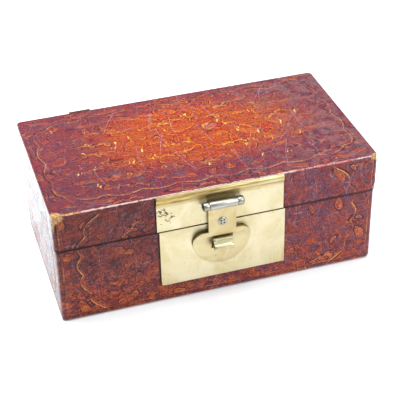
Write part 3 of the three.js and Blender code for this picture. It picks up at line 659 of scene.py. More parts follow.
class Graph:
    """A material's nodes, with short names for what is used often."""

    def __init__(self, name):
        self.material = bpy.data.materials.new(name)
        self.material.use_nodes = True
        self.tree = self.material.node_tree
        self.tree.nodes.clear()
        place = self.node("ShaderNodeTexCoord").outputs["Object"]
        scaled = self.node("ShaderNodeVectorMath", operation="SCALE")
        self.tree.links.new(place, scaled.inputs[0])
        scaled.inputs["Scale"].default_value = 1 / MM
        self.mm = scaled.outputs[0]

    def node(self, kind, **settings):
        made = self.tree.nodes.new(kind)
        for key, value in settings.items():
            setattr(made, key, value)
        return made

    def put(self, socket, value):
        if isinstance(value, bpy.types.NodeSocket):
            self.tree.links.new(value, socket)
        elif isinstance(value, str):
            socket.default_value = colour(value)
        else:
            socket.default_value = value

    def field(self, name):
        return self.node("ShaderNodeAttribute", attribute_name=name).outputs["Fac"]

    def math(self, operation, a, b=0.0):
        made = self.node("ShaderNodeMath", operation=operation)
        self.put(made.inputs[0], a)
        self.put(made.inputs[1], b)
        return made.outputs[0]

    def add(self, a, b):
        return self.math("ADD", a, b)

    def times(self, first, *others):
        for other in others:
            first = self.math("MULTIPLY", first, other)
        return first

    def total(self, *parts):
        """The sum of values, each times its own gain."""
        first, *others = [self.times(value, gain) for value, gain in parts]
        for other in others:
            first = self.add(first, other)
        return first

    def highest(self, first, *others):
        for other in others:
            first = self.math("MAXIMUM", first, other)
        return first

    def offset(self, value, gain):
        """A value from 0 to 1 made to swing about zero, times a gain."""
        return self.times(self.add(value, -0.5), gain)

    def axes(self):
        made = self.node("ShaderNodeSeparateXYZ")
        self.put(made.inputs[0], self.mm)
        return made.outputs

    def height(self):
        """Height above the underside, in millimetres."""
        return self.axes()["Z"]

    def stretch(self, scale, turn=(0, 0, 0)):
        made = self.node("ShaderNodeMapping")
        self.put(made.inputs["Vector"], self.mm)
        made.inputs["Scale"].default_value = scale
        made.inputs["Rotation"].default_value = turn
        return made.outputs[0]

    def noise(self, size, detail, rough=0.5, place=None, twist=0.0):
        made = self.node("ShaderNodeTexNoise")
        self.put(made.inputs["Vector"], place or self.mm)
        made.inputs["Scale"].default_value = 1 / size
        made.inputs["Detail"].default_value = detail
        made.inputs["Roughness"].default_value = rough
        made.inputs["Distortion"].default_value = twist
        return made.outputs["Fac"]

    def cells(self, size, feature="F1", place=None):
        made = self.node("ShaderNodeTexVoronoi", feature=feature)
        self.put(made.inputs["Vector"], place or self.mm)
        made.inputs["Scale"].default_value = 1 / size
        return made.outputs["Distance"]

    def waves(self, axis, scale, twist, detail, place):
        """Even bands across an axis."""
        made = self.node("ShaderNodeTexWave", wave_type="BANDS", bands_direction=axis)
        self.put(made.inputs["Vector"], place)
        made.inputs["Scale"].default_value = scale
        made.inputs["Distortion"].default_value = twist
        made.inputs["Detail"].default_value = detail
        return made.outputs["Fac"]

    def between(self, value, low, high, to_low=0.0, to_high=1.0):
        """An easy step from to_low at low, to to_high at high."""
        made = self.node("ShaderNodeMapRange", interpolation_type="SMOOTHSTEP")
        self.put(made.inputs["Value"], value)
        for key, number in (("From Min", low), ("From Max", high), ("To Min", to_low),
                            ("To Max", to_high)):
            self.put(made.inputs[key], number)
        return made.outputs["Result"]

    def band(self, value, low, high, soft):
        """1 between low and high, 0 outside."""
        return self.times(self.between(value, low - soft, low + soft),
                          self.between(value, high - soft, high + soft, 1.0, 0.0))

    def mix(self, share, a, b, blend="MIX"):
        made = self.node("ShaderNodeMix", data_type="RGBA", blend_type=blend)
        self.put(made.inputs[0], share)
        self.put(made.inputs[6], a)
        self.put(made.inputs[7], b)
        return made.outputs[2]

    def grade(self, value, low, high, a, b):
        """From a to b as the value goes from low to high."""
        return self.mix(self.between(value, low, high), a, b)

    def wash(self, under, share, over, amount):
        """Colour over colour, by a share that is scaled by an amount."""
        return self.mix(self.times(share, amount), under, over)

    def bumps(self, height, strength):
        """A normal from heights in millimetres."""
        made = self.node("ShaderNodeBump")
        made.inputs["Distance"].default_value = MM
        made.inputs["Strength"].default_value = strength
        self.put(made.inputs["Height"], height)
        return made.outputs["Normal"]

    def surface(self, **values):
        shader = self.node("ShaderNodeBsdfPrincipled")
        for key, value in values.items():
            self.put(shader.inputs[key.replace("_", " ")], value)
        out = self.node("ShaderNodeOutputMaterial")
        self.tree.links.new(shader.outputs[0], out.inputs["Surface"])
        return self.material


def leather_material():
    g = Graph("tooled_lacquered_leather")
    motif, line, border, contour, gilt, scratch, warmth, gap_shade = map(g.field, FIELDS)
    rub, bare = g.field("rub"), g.field("bare")

    broad = g.noise(17, 3)
    patch = g.noise(5.5, 4, 0.62, twist=0.7)
    other = g.noise(4.2, 4, 0.6, place=g.stretch((0.8, 1.3, 1.1), (0.4, 0.2, 0.9)), twist=0.9)
    fine = g.noise(1.3, 4, 0.68)
    speck = g.noise(0.55, 3, 0.72)
    streak = g.noise(1.5, 4, 0.62, place=g.stretch((0.30, 0.9, 0.9), (0, 0, 0.12)), twist=0.4)

    axes = g.axes()
    across, height = axes["X"], axes["Z"]
    on_top = g.between(height, TOP_Z - 1.6, TOP_Z - 0.6)
    rightward = g.between(across, -70, 90)

    # Ground: mottled maroon lacquer, purple where it has bloomed and, more towards the right, as a
    # painted sheen; rust where it is thin
    mottle = g.noise(1.15, 5, 0.78)
    grain = g.noise(0.75, 3, 0.7, place=g.stretch((0.55, 0.55, 1.5), (0, 0.5, 0)))
    shade = g.total((mottle, 0.4), (patch, 0.3), (grain, 0.3))
    low_down = g.between(height, 52, 6, 0.25, 1.0)
    # The dark ground turns lighter and purpler towards the right: a painted sheen
    dark = g.grade(rightward, 0, 1, "301620", "40243a")
    ground = g.grade(shade, 0.44, 0.51, dark, "6e2220")
    ground = g.wash(ground, g.between(shade, 0.5, 0.56), "b0501a", low_down)
    top_ground = g.grade(shade, 0.42, 0.54, "4b2a42", "84282c")
    top_ground = g.wash(top_ground, g.between(shade, 0.54, 0.62), "a34a2c", 0.7)
    ground = g.mix(on_top, ground, top_ground)
    # Purple patches, spread further towards the right as a painted sheen
    purple_and_sheen = g.add(g.total((rightward, 0.5), (on_top, 0.1)), 0.20)
    ground = g.wash(ground, g.between(other, 0.48, 0.6), "56384c", purple_and_sheen)
    threads = g.noise(2.2, 3, 0.6, place=g.stretch((1.3, 1.3, 0.22)), twist=1.2)
    lilac = g.times(g.band(threads, 0.49, 0.52, 0.012), g.between(on_top, 0, 1, 0.5, 0.3))
    lilac = g.times(lilac, g.between(broad, 0.42, 0.58))
    ground = g.wash(ground, lilac, "826678", g.between(height, 20, 60, 0.35, 1.0))
    ground = g.wash(ground, g.between(streak, 0.56, 0.66), "944440", 0.45)
    hot = g.between(warmth, 0.18, 0.85)
    glow = g.grade(streak, 0.40, 0.58, "a81e1c", "b04a10")
    glow = g.grade(mottle, 0.54, 0.62, glow, "cb7418")
    glow = g.grade(other, 0.60, 0.68, glow, "6c3040")
    glow = g.grade(mottle, 0.45, 0.37, glow, "7a1a20")
    ground = g.wash(ground, hot, glow, g.between(fine, 0.76, 0.44))

    # Contour lines of the tooled ground
    turn = g.math("FRACT", contour)
    light_line = g.band(turn, 0.40, 0.49, 0.05)
    dark_line = g.band(turn, 0.52, 0.66, 0.06)
    open_ground = g.between(motif, 0.1, -0.5)
    broken = g.times(g.between(other, 0.34, 0.58, 0.1, 0.9), g.between(on_top, 0, 1, 0.4, 1.0))
    ground = g.wash(ground, g.times(light_line, open_ground),
                    g.mix(hot, "b0603e", "dc9530"), broken)
    ground = g.wash(ground, g.times(dark_line, open_ground), "381420", broken)

    # Painted motifs, worn fainter in places
    seen = g.between(g.noise(10, 3), 0.38, 0.56, 0.35, 1.0)
    paint = g.grade(mottle, 0.42, 0.58, "8a3012", "cc661c")
    paint = g.mix(hot, paint, g.grade(fine, 0.4, 0.6, "b23e14", "c77a1c"))
    paint = g.wash(paint, g.between(broad, 0.48, 0.6), "7c2c28", 0.7)
    fill = g.times(g.between(patch, 0.60, 0.44, 0.15, 0.85), seen)
    base = g.mix(g.times(g.between(motif, 0.15, 0.8), fill), ground, paint)
    rim = g.times(g.between(other, 0.3, 0.58, 0.25, 0.85), seen)
    base = g.wash(base, g.band(motif, 0.02, 0.3, 0.1), g.mix(hot, "bc6840", "e09c3c"), rim)
    base = g.wash(base, g.band(motif, -0.66, -0.16, 0.14),
                  "260c16", g.times(seen, g.between(on_top, 0, 1, 0.85, 0.55)))

    # Scalloped panel line and border line: a painted highlight on the ridge beside a painted shade in
    # the groove
    lit = g.grade(speck, 0.4, 0.6, "b8683e", "d3924c")
    faint = g.times(g.between(g.noise(13, 2), 0.42, 0.56, 0.2, 1.0), g.between(on_top, 0, 1, 1.0, 0.7))
    for away, gain in ((line, 1.0), (border, 0.45)):
        shown = g.times(g.between(other, 0.34, 0.56, 0.3 * gain, gain), faint)
        base = g.wash(base, g.band(away, 0.05, 0.85, 0.15), lit, shown)
        base = g.wash(base, g.band(away, -0.95, -0.12, 0.16), "1e0c14", g.times(faint, 0.9 * gain))
        base = g.wash(base, g.band(away, 1.5, 1.95, 0.12), "a85c34", g.times(shown, 0.6))

    # Gilt, scratches, and painted shade in the gaps at the lid's edge and round the plates
    base = g.grade(g.add(gilt, g.offset(speck, 0.7)), -0.05, 0.15, base,
                   g.grade(fine, 0.4, 0.6, "d89a34", "e8c478"))
    cut = g.between(g.add(g.math("ABSOLUTE", scratch), g.offset(fine, 0.9)), 0.26, 0.08)
    base = g.wash(base, cut, "a88aa2", 0.55)
    hairs = g.cells(15, "DISTANCE_TO_EDGE", place=g.stretch((1.0, 0.33, 0.6), (0.2, 0.1, 0.5)))
    crack = g.times(g.between(hairs, 0.018, 0.004), g.between(g.noise(8, 2), 0.48, 0.6))
    base = g.wash(base, crack, "a07a88", 0.4)
    cool = g.times(g.between(g.noise(7, 4, 0.72, twist=0.6), 0.53, 0.66),
                   g.between(hot, 0.3, 0.9, 1.0, 0.15))
    base = g.wash(base, cool,
                  g.grade(fine, 0.4, 0.6, "38262e", "74646e"), g.times(on_top, 0.6))
    # Painted sheen: a fine lilac-grey speckle, faint on the walls and strongest on the top
    sheen_speckle = g.times(g.between(g.noise(0.9, 4, 0.75), 0.60, 0.74), g.add(0.06, g.times(on_top, 0.42)))
    base = g.mix(sheen_speckle, base, "a98fa8")
    # Painted sheen: grey patches on the top, growing towards the right
    top_sheen = g.times(on_top, g.between(across, 10, 90), g.between(patch, 0.42, 0.6))
    base = g.wash(base, top_sheen, "8c8282", 0.24)
    base = g.mix(1.0, base, g.between(speck, 0.33, 0.67, 0.48, 1.50), "MULTIPLY")
    # Painted light on the walls: brighter towards the right and darker towards the left. At the left
    # the walls also grow darker towards the top.
    darker_upward = g.between(height, 15, 60, 1.0, 0.82)
    fade_and_side_light = g.between(across, -60, 80, darker_upward, 1.25)
    base = g.mix(1.0, base, g.between(on_top, 0, 1, fade_and_side_light, 1.0), "MULTIPLY")
    # Painted shade: the top darkened towards its left end
    top_left_shade = g.times(on_top, g.between(across, 0, -80, 0.0, 0.22))
    base = g.mix(top_left_shade, base, "2c2628")
    # Painted shade along the line where lid meets base, and round the brass plates
    base = g.wash(base, gap_shade, "080405", 0.97)

    # Wear: pale rubbed edges, and corners bared to tan
    rubbed = g.between(g.add(rub, g.offset(g.noise(1.5, 3, 0.7), 1.1)), 0.46, 0.66)
    bared = g.between(g.add(bare, g.offset(g.noise(2.2, 4, 0.7), 1.0)), 0.50, 0.66)
    reddened = g.times(g.band(across, 48, 90, 3), g.between(speck, 0.68, 0.45))
    cream = g.mix(reddened, "d2b4a8", "b8403c")
    cream = g.grade(fine, 0.5, 0.7, cream, "e4d4ca")
    tan = g.grade(g.noise(1.3, 4, 0.7), 0.4, 0.62, "9a6636", "cda676")
    base = g.wash(base, rubbed, cream, 0.88)
    base = g.wash(base, bared, tan, 0.95)

    worn = g.highest(rubbed, bared)
    rough = g.highest(g.between(fine, 0.3, 0.7, 0.30, 0.48), g.times(worn, 0.8),
                      g.times(gap_shade, 0.9))
    relief = g.total((fine, 0.10), (speck, 0.05), (g.times(light_line, open_ground), 0.05),
                     (g.band(motif, 0.0, 0.5, 0.14), 0.05), (g.add(cut, crack), -0.06),
                     (g.times(worn, speck), 0.16))
    return g.surface(Base_Color=base, Roughness=rough, Normal=g.bumps(relief, 0.9),
                     Specular_IOR_Level=0.06, Coat_Weight=1.0, Coat_Roughness=0.18, Coat_IOR=1.25,
                     Sheen_Weight=0.17, Sheen_Roughness=0.20, Sheen_Tint="e2e4e8")


BARREL_CROWN = (73.5, 73.75)  # heights where a painted shade sets in along the top of the hasp's barrel
BARREL_FOOT = 67.8  # the hasp is nickelled above this


def brass_material(name, light, deep, rough=(0.38, 0.48), brushed=(1, 1, 8), fields=False,
                   nickelled=None):
    """Rubbed yellow brass with faint brushing, cloudy tarnish and small dark pits; on the plates also
    painted shade and a painted reflection, and on the hasp a painted shade along its barrel.
    """
    g = Graph(name)
    cloud = g.noise(17, 4, 0.6, twist=0.8)
    hair = g.noise(1.0, 3, 0.6, place=g.stretch(brushed, (0.05, 0.08, 0.03)))
    speck = g.noise(0.8, 3, 0.65)
    base = g.grade(cloud, 0.35, 0.7, light, deep)
    base = g.wash(base, g.between(g.noise(3.2, 4, 0.7), 0.58, 0.74), "a08a4c", 0.35)
    base = g.wash(base, g.between(speck, 0.68, 0.74), "6b5630", 0.5)
    dark = g.between(g.cells(9), 0.07, 0.03)
    base = g.wash(base, dark, "5c4a2c", 0.5)
    level = g.between(cloud, 0.3, 0.7, *rough)
    if fields:
        upper = g.between(g.height(), SEAM_Z - 1, SEAM_Z + 1)
        drawn = g.mix(upper, g.noise(1.1, 3, 0.6, place=g.stretch((1, 1, 0.07))),
                      g.noise(1.1, 3, 0.6, place=g.stretch((0.08, 1, 1))))
        gold = g.grade(drawn, 0.4, 0.6, g.mix(upper, "b49c60", "8a6c30"),
                       g.mix(upper, "cbb880", "c4a658"))
        # The plates' darker gold patches, and on the lid plate a painted reflection below the ridge
        base = g.mix(g.field("patina_and_reflection"), base, gold)
        # Tarnish and dirt, and with them painted shade at the plates' edges and backs and under the
        # hasp's shoulders, and a painted streak of reflection on the lid plate
        tarnish_and_shade = g.between(g.add(g.field("tarnish_and_shade"), g.offset(speck, 0.5)), 0.25, 0.8)
        base = g.wash(base, tarnish_and_shade, "4a3c22", 0.85)
        level = g.add(level, g.times(tarnish_and_shade, 0.22))
    if nickelled is not None:
        height = g.height()
        rolled = g.between(g.add(height, g.times(speck, 0.5)), nickelled, nickelled + 0.5)
        # Painted shade: a dark line at the barrel's foot on the neck, and a dark band along the
        # barrel's top
        foot_shade = g.band(height, nickelled - 0.25, nickelled + 0.35, 0.2)
        base = g.mix(rolled, base, g.grade(cloud, 0.35, 0.65, "b5b1a8", "99917f"))
        crown_shade = g.between(height, *BARREL_CROWN)
        base = g.wash(base, g.highest(foot_shade, crown_shade), "2c2416", 0.85)
    level = g.add(level, g.offset(hair, 0.12))
    relief = g.total((hair, 0.010), (g.noise(7, 2), 0.16), (dark, -0.04))
    return g.surface(Base_Color=base, Metallic=1.0, Roughness=level, Normal=g.bumps(relief, 0.8))


def nickel_material():
    g = Graph("worn_nickel")
    cloud = g.noise(3.0, 4, 0.65)
    base = g.grade(cloud, 0.35, 0.65, "bfbbb0", "a19a8a")
    base = g.wash(base, g.between(g.noise(1.2, 3, 0.7), 0.6, 0.72), "6e6248", 0.6)
    # Darker in the rivet's dimples, as dirt, and over the pin and the straps, as painted shade at the
    # barrel's ends
    base = g.grade(g.field("dirt_and_shade"), 0.2, 0.7, base, "1a1610")
    # Painted shade along the top of the barrel
    base = g.wash(base, g.between(g.height(), *BARREL_CROWN), "2c2416", 0.85)
    relief = g.total((g.noise(0.6, 3, 0.6), 0.03), (g.noise(2.5, 2), 0.08))
    return g.surface(Base_Color=base, Metallic=1.0, Roughness=g.between(cloud, 0.3, 0.7, 0.30, 0.44),
                     Normal=g.bumps(relief, 0.7))


def wood_material():
    g = Graph("stained_softwood")
    rings = g.waves("Z", 1.0, 5.0, 3.0, g.stretch((0.03, 0.03, 0.35), (0.04, 0.03, 0)))
    pores = g.noise(0.5, 3, 0.6, place=g.stretch((0.08, 0.4, 1.2)))
    base = g.mix(rings, "4c201c", "6c3228")
    base = g.wash(base, g.between(pores, 0.55, 0.75), "341412", 0.5)
    return g.surface(Base_Color=base, Roughness=g.between(pores, 0.3, 0.7, 0.55, 0.8),
                     Normal=g.bumps(g.times(pores, 0.12), 0.6))


def card_material():
    g = Graph("sole_paper")
    fibre = g.noise(1.2, 4, 0.7, place=g.stretch((0.5, 1.0, 1.0)))
    base = g.grade(fibre, 0.35, 0.7, "3c241e", "573830")
    base = g.wash(base, g.between(g.noise(19, 3), 0.55, 0.7), "7a5a4a", 0.5)
    return g.surface(Base_Color=base, Roughness=g.between(fibre, 0.3, 0.7, 0.75, 0.92),
                     Normal=g.bumps(g.times(fibre, 0.08), 0.7))


def silk_material(name, light, deep):
    """Fine plain silk with a visible rib, a little sheen, and faded patches."""
    g = Graph(name)
    ribs = [g.waves(axis, 0.62, 0.8, 1.0, g.mm) for axis in ("X", "Y", "Z")]
    weave = g.total((ribs[0], 0.25), (ribs[1], 0.25), (ribs[2], 0.5))
    slub = g.noise(1.0, 3, 0.6, place=g.stretch((0.12, 1.4, 1.4)))
    fade_and_side_light = g.noise(26, 3, 0.55)
    base = g.grade(fade_and_side_light, 0.35, 0.7, deep, light)
    base = g.wash(base, g.between(slub, 0.52, 0.68), "d0645a", 0.35)
    base = g.mix(1.0, base, g.between(weave, 0.2, 0.8, 0.78, 1.1), "MULTIPLY")
    relief = g.total((weave, 0.06), (slub, 0.05))
    return g.surface(Base_Color=base, Roughness=g.between(weave, 0.2, 0.8, 0.62, 0.42),
                     Normal=g.bumps(relief, 0.8), Sheen_Weight=0.12, Sheen_Roughness=0.35)


MATERIALS = {
    "leather": leather_material(),
    "plate_brass": brass_material("plate_brass", "d8ccac", "cfc096", fields=True),
    "hasp_brass": brass_material("hasp_brass", "cfc098", "c4ae7e", brushed=(8, 1, 1),
                                 nickelled=BARREL_FOOT),
    "hinge_brass": brass_material("hinge_brass", "6e5e3c", "483c26", rough=(0.42, 0.55)),
    "staple_brass": brass_material("staple_brass", "c6bd9c", "aca17c", rough=(0.34, 0.44),
                                   brushed=(8, 1, 1)),
    "nickel": nickel_material(),
    "wood": wood_material(),
    "card": card_material(),
    "lining_silk": silk_material("lining_silk", "9e2430", "7c1a28"),
    "pad_silk": silk_material("pad_silk", "b02a34", "8a1c2a"),
}


# ---------------------------------------------------------------- leather

base_cover()
lid_cover()

# ---------------------------------------------------------------- hardware

KNOCKS_MIDDLE = (-34.0, 66.5)  # where knocks gather on the lid plate: x and z
KNOCKS_COUNT = 26
SHOULDER = (11.8, 42.5, 7.0)  # round shoulders of the hasp's head: x, z and radius


def knocks(x, z):
    """Small gouges scattered at the lid plate's left, as a depth from 0 to 1."""
    rng = np.random.default_rng(97)
    deep = np.zeros(x.shape)
    for _ in range(KNOCKS_COUNT):
        cx = KNOCKS_MIDDLE[0] + rng.normal(0, 2.9)
        cz = KNOCKS_MIDDLE[1] - 0.5 * (cx - KNOCKS_MIDDLE[0]) + rng.normal(0, 2.2)
        lean, length, width = rng.normal(-0.55, 0.35), rng.uniform(0.7, 2.1), rng.uniform(0.35, 0.6)
        u = (x - cx) * math.cos(lean) + (z - cz) * math.sin(lean)
        v = (z - cz) * math.cos(lean) - (x - cx) * math.sin(lean)
        deep = np.maximum(deep, rng.uniform(0.5, 1) * np.exp(-((u / length) ** 2 + (v / width) ** 2)))
    return deep


def lock_plate_shape(points):
    x, y, z = points.T
    low, high = PLATES[0]
    edge = np.minimum(np.minimum(x - low[0], high[0] - x), np.minimum(z - low[2], high[2] - z))
    wave = 0.05 * (cloudy(x, z, 26, 3, 2) - 0.5) * smooth(edge, 0, 6)
    front = y < (low[1] + high[1]) / 2
    inward = np.where(front, wave + 0.025, 0)
    # Painted shade: a faint dark line along the plate's front edges, and dark over its back and the
    # back halves of its sides, in the gap where it stands on the leather
    tarnish_and_shade = 0.12 * bump(edge, 0.0, 0.7) * front + 0.9 * (~front)
    corner = np.hypot(x - low[0], z - low[2])
    tarnish_and_shade += 0.5 * smooth(corner, 9, 1) * smooth(edge, 2.5, 0.3) * noise(x, z, 1.5, 14)
    patina_and_reflection = 0.35 * smooth(corner, 16, 1) + 0.45 * smooth(np.hypot(high[0] - x, z - low[2]), 20, 2)
    for side, first, last in ((-1, 85, 200), (1, 60, 100)):  # painted shade in the gap under the hasp's shoulders
        dx, dz = x - side * SHOULDER[0], z - SHOULDER[1]
        turn = np.degrees(np.arctan2(dz, dx)) % 360
        ring = bump(np.hypot(dx, dz), SHOULDER[2] - 0.1, 0.55)
        tarnish_and_shade += 0.95 * ring * smooth(turn, first - 12, first + 8) * smooth(turn, last + 12, last - 8)
    return np.stack([x, y + inward, z], 1), {"tarnish_and_shade": tarnish_and_shade, "patina_and_reflection": patina_and_reflection}


def lock_plate():
    low, high = PLATES[0]
    obj = slab("lock_plate_sheet", low, high, PLATE_ROUNDING, (96, 1, 50), lock_plate_shape)
    settle(obj, "base", "lock_plate", "plate_brass")


def bezier(p0, p1, p2, p3, steps):
    p0, p1, p2, p3 = (np.array(p, float) for p in (p0, p1, p2, p3))
    out = []
    for k in range(1, steps + 1):
        t = k / steps
        out.append((1 - t) ** 3 * p0 + 3 * t * (1 - t) ** 2 * p1 + 3 * t * t * (1 - t) * p2 + t**3 * p3)
    return out


def strip(path, thickness, low_x, high_x, cells, round_end=0.2):
    """A bent sheet: a path of (y, z) carried along X. Returns points, faces, front flags."""
    path = np.array(path)
    along = np.gradient(path, axis=0)
    along /= np.linalg.norm(along, axis=1, keepdims=True)
    across = np.stack([-along[:, 1], along[:, 0]], 1)
    half, margin = thickness / 2, 0.25
    loop = np.concatenate([path + across * half, (path - across * half)[::-1]])
    middle = np.concatenate([path, path[::-1]])
    facing = np.concatenate([np.ones(len(path)), np.zeros(len(path))])
    xs = np.concatenate([[low_x, low_x + 0.3 * margin],
                         np.linspace(low_x + margin, high_x - margin, cells + 1),
                         [high_x - 0.3 * margin, high_x]])
    points = []
    for x in xs:
        inset = min(x - low_x, high_x - x)
        share = 1 - (round_end / half) * max(0.0, 1 - inset / margin) ** 2
        ring = middle + (loop - middle) * share
        points.append(np.stack([np.full(len(ring), x), ring[:, 0], ring[:, 1]], 1))
    count = len(loop)
    faces = [tuple(reversed(f)) for f in hoop_faces(len(xs), count, closed=False)]
    last = (len(xs) - 1) * count
    for k in range(len(path) - 1):  # the two ends, closed strip by strip
        a, b, c, d = k, k + 1, count - 2 - k, count - 1 - k
        faces.append((a, b, c, d))
        faces.append((last + d, last + c, last + b, last + a))
    points = np.concatenate(points)
    return points, outward(points, faces), np.tile(facing, len(xs))


RIDGE_Z, RIDGE_RISE = 78.3, 1.0  # the ridge along the top of the lid plate


def lid_plate():
    """The upper plate: flat, swelling to a ridge along the lid's edge."""
    low, high = PLATES[1]
    y, ridge, rise, top = high[1] - BRASS / 2, RIDGE_Z, RIDGE_RISE, high[2]
    path = [np.array((y, z)) for z in np.linspace(low[2], ridge - 5, 26)]
    path += bezier((y, ridge - 5), (y, ridge - 2), (y - rise, ridge - 2), (y - rise, ridge), 12)
    path += bezier((y - rise, ridge), (y - rise, ridge + 1.4), (y, ridge + 1.2), (y, top), 8)
    points, faces, flags = strip(path, BRASS, low[0], high[0], 116)
    x, _, z = points.T
    deep = knocks(x, z) * flags
    sag = 0.10 * (cloudy(x, z * 2, 24, 21, 2) - 0.5) * flags
    edge = np.minimum(x - low[0], high[0] - x)
    points[:, 1] += (0.30 * deep + sag + 0.05) * smooth(edge, 0, 1.5)
    # Dirt in the knocks, and painted shade over the plate's back
    tarnish_and_shade = 0.95 * smooth(deep, 0.25, 0.6) + 0.9 * (1 - flags)
    above = z - ridge
    # Painted reflection: a darker gold band below the ridge, fading towards the right, and a dark
    # streak along the ridge's left part
    patina_and_reflection = smooth(above, -6.8, -1.8) * (0.95 - 0.35 * smooth(x, -20, 40)) * flags
    patina_and_reflection -= 0.45 * bump(above, -0.7, 0.8) * flags + 0.5 * smooth(above, 1.3, 2.1) * flags
    tarnish_and_shade += 0.35 * smooth(x, -12, -42) * smooth(above, -0.8, 1.2) * flags
    obj = mesh_object("lid_plate_sheet", points, faces,
                      {"tarnish_and_shade": tarnish_and_shade, "patina_and_reflection": np.clip(patina_and_reflection, 0, 1)})
    settle(obj, "lid", "lid_plate", "plate_brass")


def staple():
    """A strip bent to a hooked loop: a flat upper leg, a waist, and a round lower lip."""
    low, high = box_mm("staple")
    face, sheet, clinch = PLATES[0][0][1], 1.1, 4.5
    back = high[1] - sheet / 2
    top, bottom = high[2] - clinch - sheet / 2, low[2] + clinch + sheet / 2
    corner = 0.6
    path = [np.array((back, z)) for z in np.linspace(top + clinch, top + corner, 4)]
    path += bezier((back, top + corner), (back, top), (back, top), (back - corner, top), 3)
    path += [np.array((y, top)) for y in np.linspace(back - corner, face - 3.3, 6)[1:]]
    path += bezier((face - 3.3, top), (face - 4.6, top), (face - 4.9, top - 0.5),
                   (face - 4.8, top - 1.6), 8)
    path += bezier((face - 4.8, top - 1.6), (face - 4.6, top - 3.2), (face - 5.2, top - 3.4),
                   (face - 6.2, top - 4.0), 8)
    path += bezier((face - 6.2, top - 4.0), (face - 7.6, top - 5.0), (face - 7.0, bottom),
                   (face - 4.6, bottom), 14)
    path += [np.array((y, bottom)) for y in np.linspace(face - 4.6, back - corner, 7)[1:]]
    path += bezier((back - corner, bottom), (back, bottom), (back, bottom), (back, bottom - corner), 3)
    path += [np.array((back, z)) for z in np.linspace(bottom - corner, bottom - clinch, 4)[1:]]
    points, faces, _ = strip(path, sheet, low[0], high[0], 8, round_end=0.18)
    settle(mesh_object("staple_piece", points, faces), "base", "staple", "hasp_brass", "staple_brass")


BARREL_REACH = 2.8  # how far from the pin's axis the rolled sheet reaches
BARREL_SWELL = 0.15


def fatten(x, y, z):
    """Swells a rolled end round the hasp's pin, leaving its flat legs alone."""
    low, high = box_mm("hasp_pin")
    cy, cz = (low[1] + high[1]) / 2, (low[2] + high[2]) / 2
    dy, dz = y - cy, z - cz
    rolled = float(smooth(dy, 1.5, 0.6)) if math.hypot(dy, dz) < BARREL_REACH else 0.0
    swell = 1 + BARREL_SWELL * rolled
    return x, cy + dy * swell, cz + dz * swell


def lower_top(x, y, z):
    """Keeps a leaf's upper edge below the rounded edge of the lid."""
    return x, y, min(z, TOP_Z - 2.0)


# The angle under which faces are merged, over which an edge is rounded, and over which it is
# shaded as an edge
MERGED, ROUNDED, CREASED = (math.radians(d) for d in (0.6, 35, 32))


def dressed_copy(node, body, slot, width, shape=None, dirt_and_shade=0.0):
    """A copy of a CAD node with its flat faces merged and its sharp edges softened."""
    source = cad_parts[node]
    bm = bmesh.new()
    bm.from_mesh(source.data)
    bmesh.ops.remove_doubles(bm, verts=bm.verts, dist=1e-6)
    bmesh.ops.dissolve_limit(bm, angle_limit=MERGED, verts=bm.verts, edges=bm.edges)
    sharp = [e for e in bm.edges if len(e.link_faces) == 2 and e.calc_face_angle(0) > ROUNDED]
    bmesh.ops.bevel(bm, geom=sharp, offset=width * MM, segments=2, profile=0.5, affect="EDGES",
                    clamp_overlap=True)
    bmesh.ops.triangulate(bm, faces=[f for f in bm.faces if len(f.verts) > 4])
    for f in bm.faces:
        f.smooth = True
    if shape is not None:
        for v in bm.verts:
            v.co = Vector(shape(*(c / MM for c in v.co))) * MM
    mesh = bpy.data.meshes.new(node + "_piece")
    bm.to_mesh(mesh)
    bm.free()
    mesh.set_sharp_from_angle(angle=CREASED)
    if dirt_and_shade:
        write_fields(mesh, {"dirt_and_shade": [dirt_and_shade] * len(mesh.vertices)})
    settle(added(node + "_piece", mesh), body, node, slot)


lock_plate()
lid_plate()
staple()
dressed_copy("hasp", "hasp", "hasp_brass", 0.2, fatten)
# The pin is darkened: a painted shade at the barrel's ends
dressed_copy("hasp_pin", "lid", "nickel", 0.1, dirt_and_shade=0.6)
dressed_copy("base_sole_card", "base", "card", 0.15)
for side in ("left", "right"):
    # The straps are darkened a little: a painted shade at the barrel's ends
    dressed_copy(f"hasp_strap_{side}", "lid", "nickel", 0.03, fatten, dirt_and_shade=0.34)
    dressed_copy(f"hinge_pin_{side}", "base", "nickel", 0.1)
    for body in ("base", "lid"):
        lowered = lower_top if (body, side) == ("lid", "right") else None
        dressed_copy(f"{body}_hinge_leaf_{side}", body, "hinge_brass", 0.15, lowered)
        for n in (1, 2):
            dressed_copy(f"{body}_hinge_nail_{side}_{n}", body, "hinge_brass", 0.06)


RIVET_SIDES = 48
DOME_RINGS = 15
DIMPLE_RING = 1.45  # from the rivet's middle to each of its four dimples
DIMPLE_DEPTH = 0.5


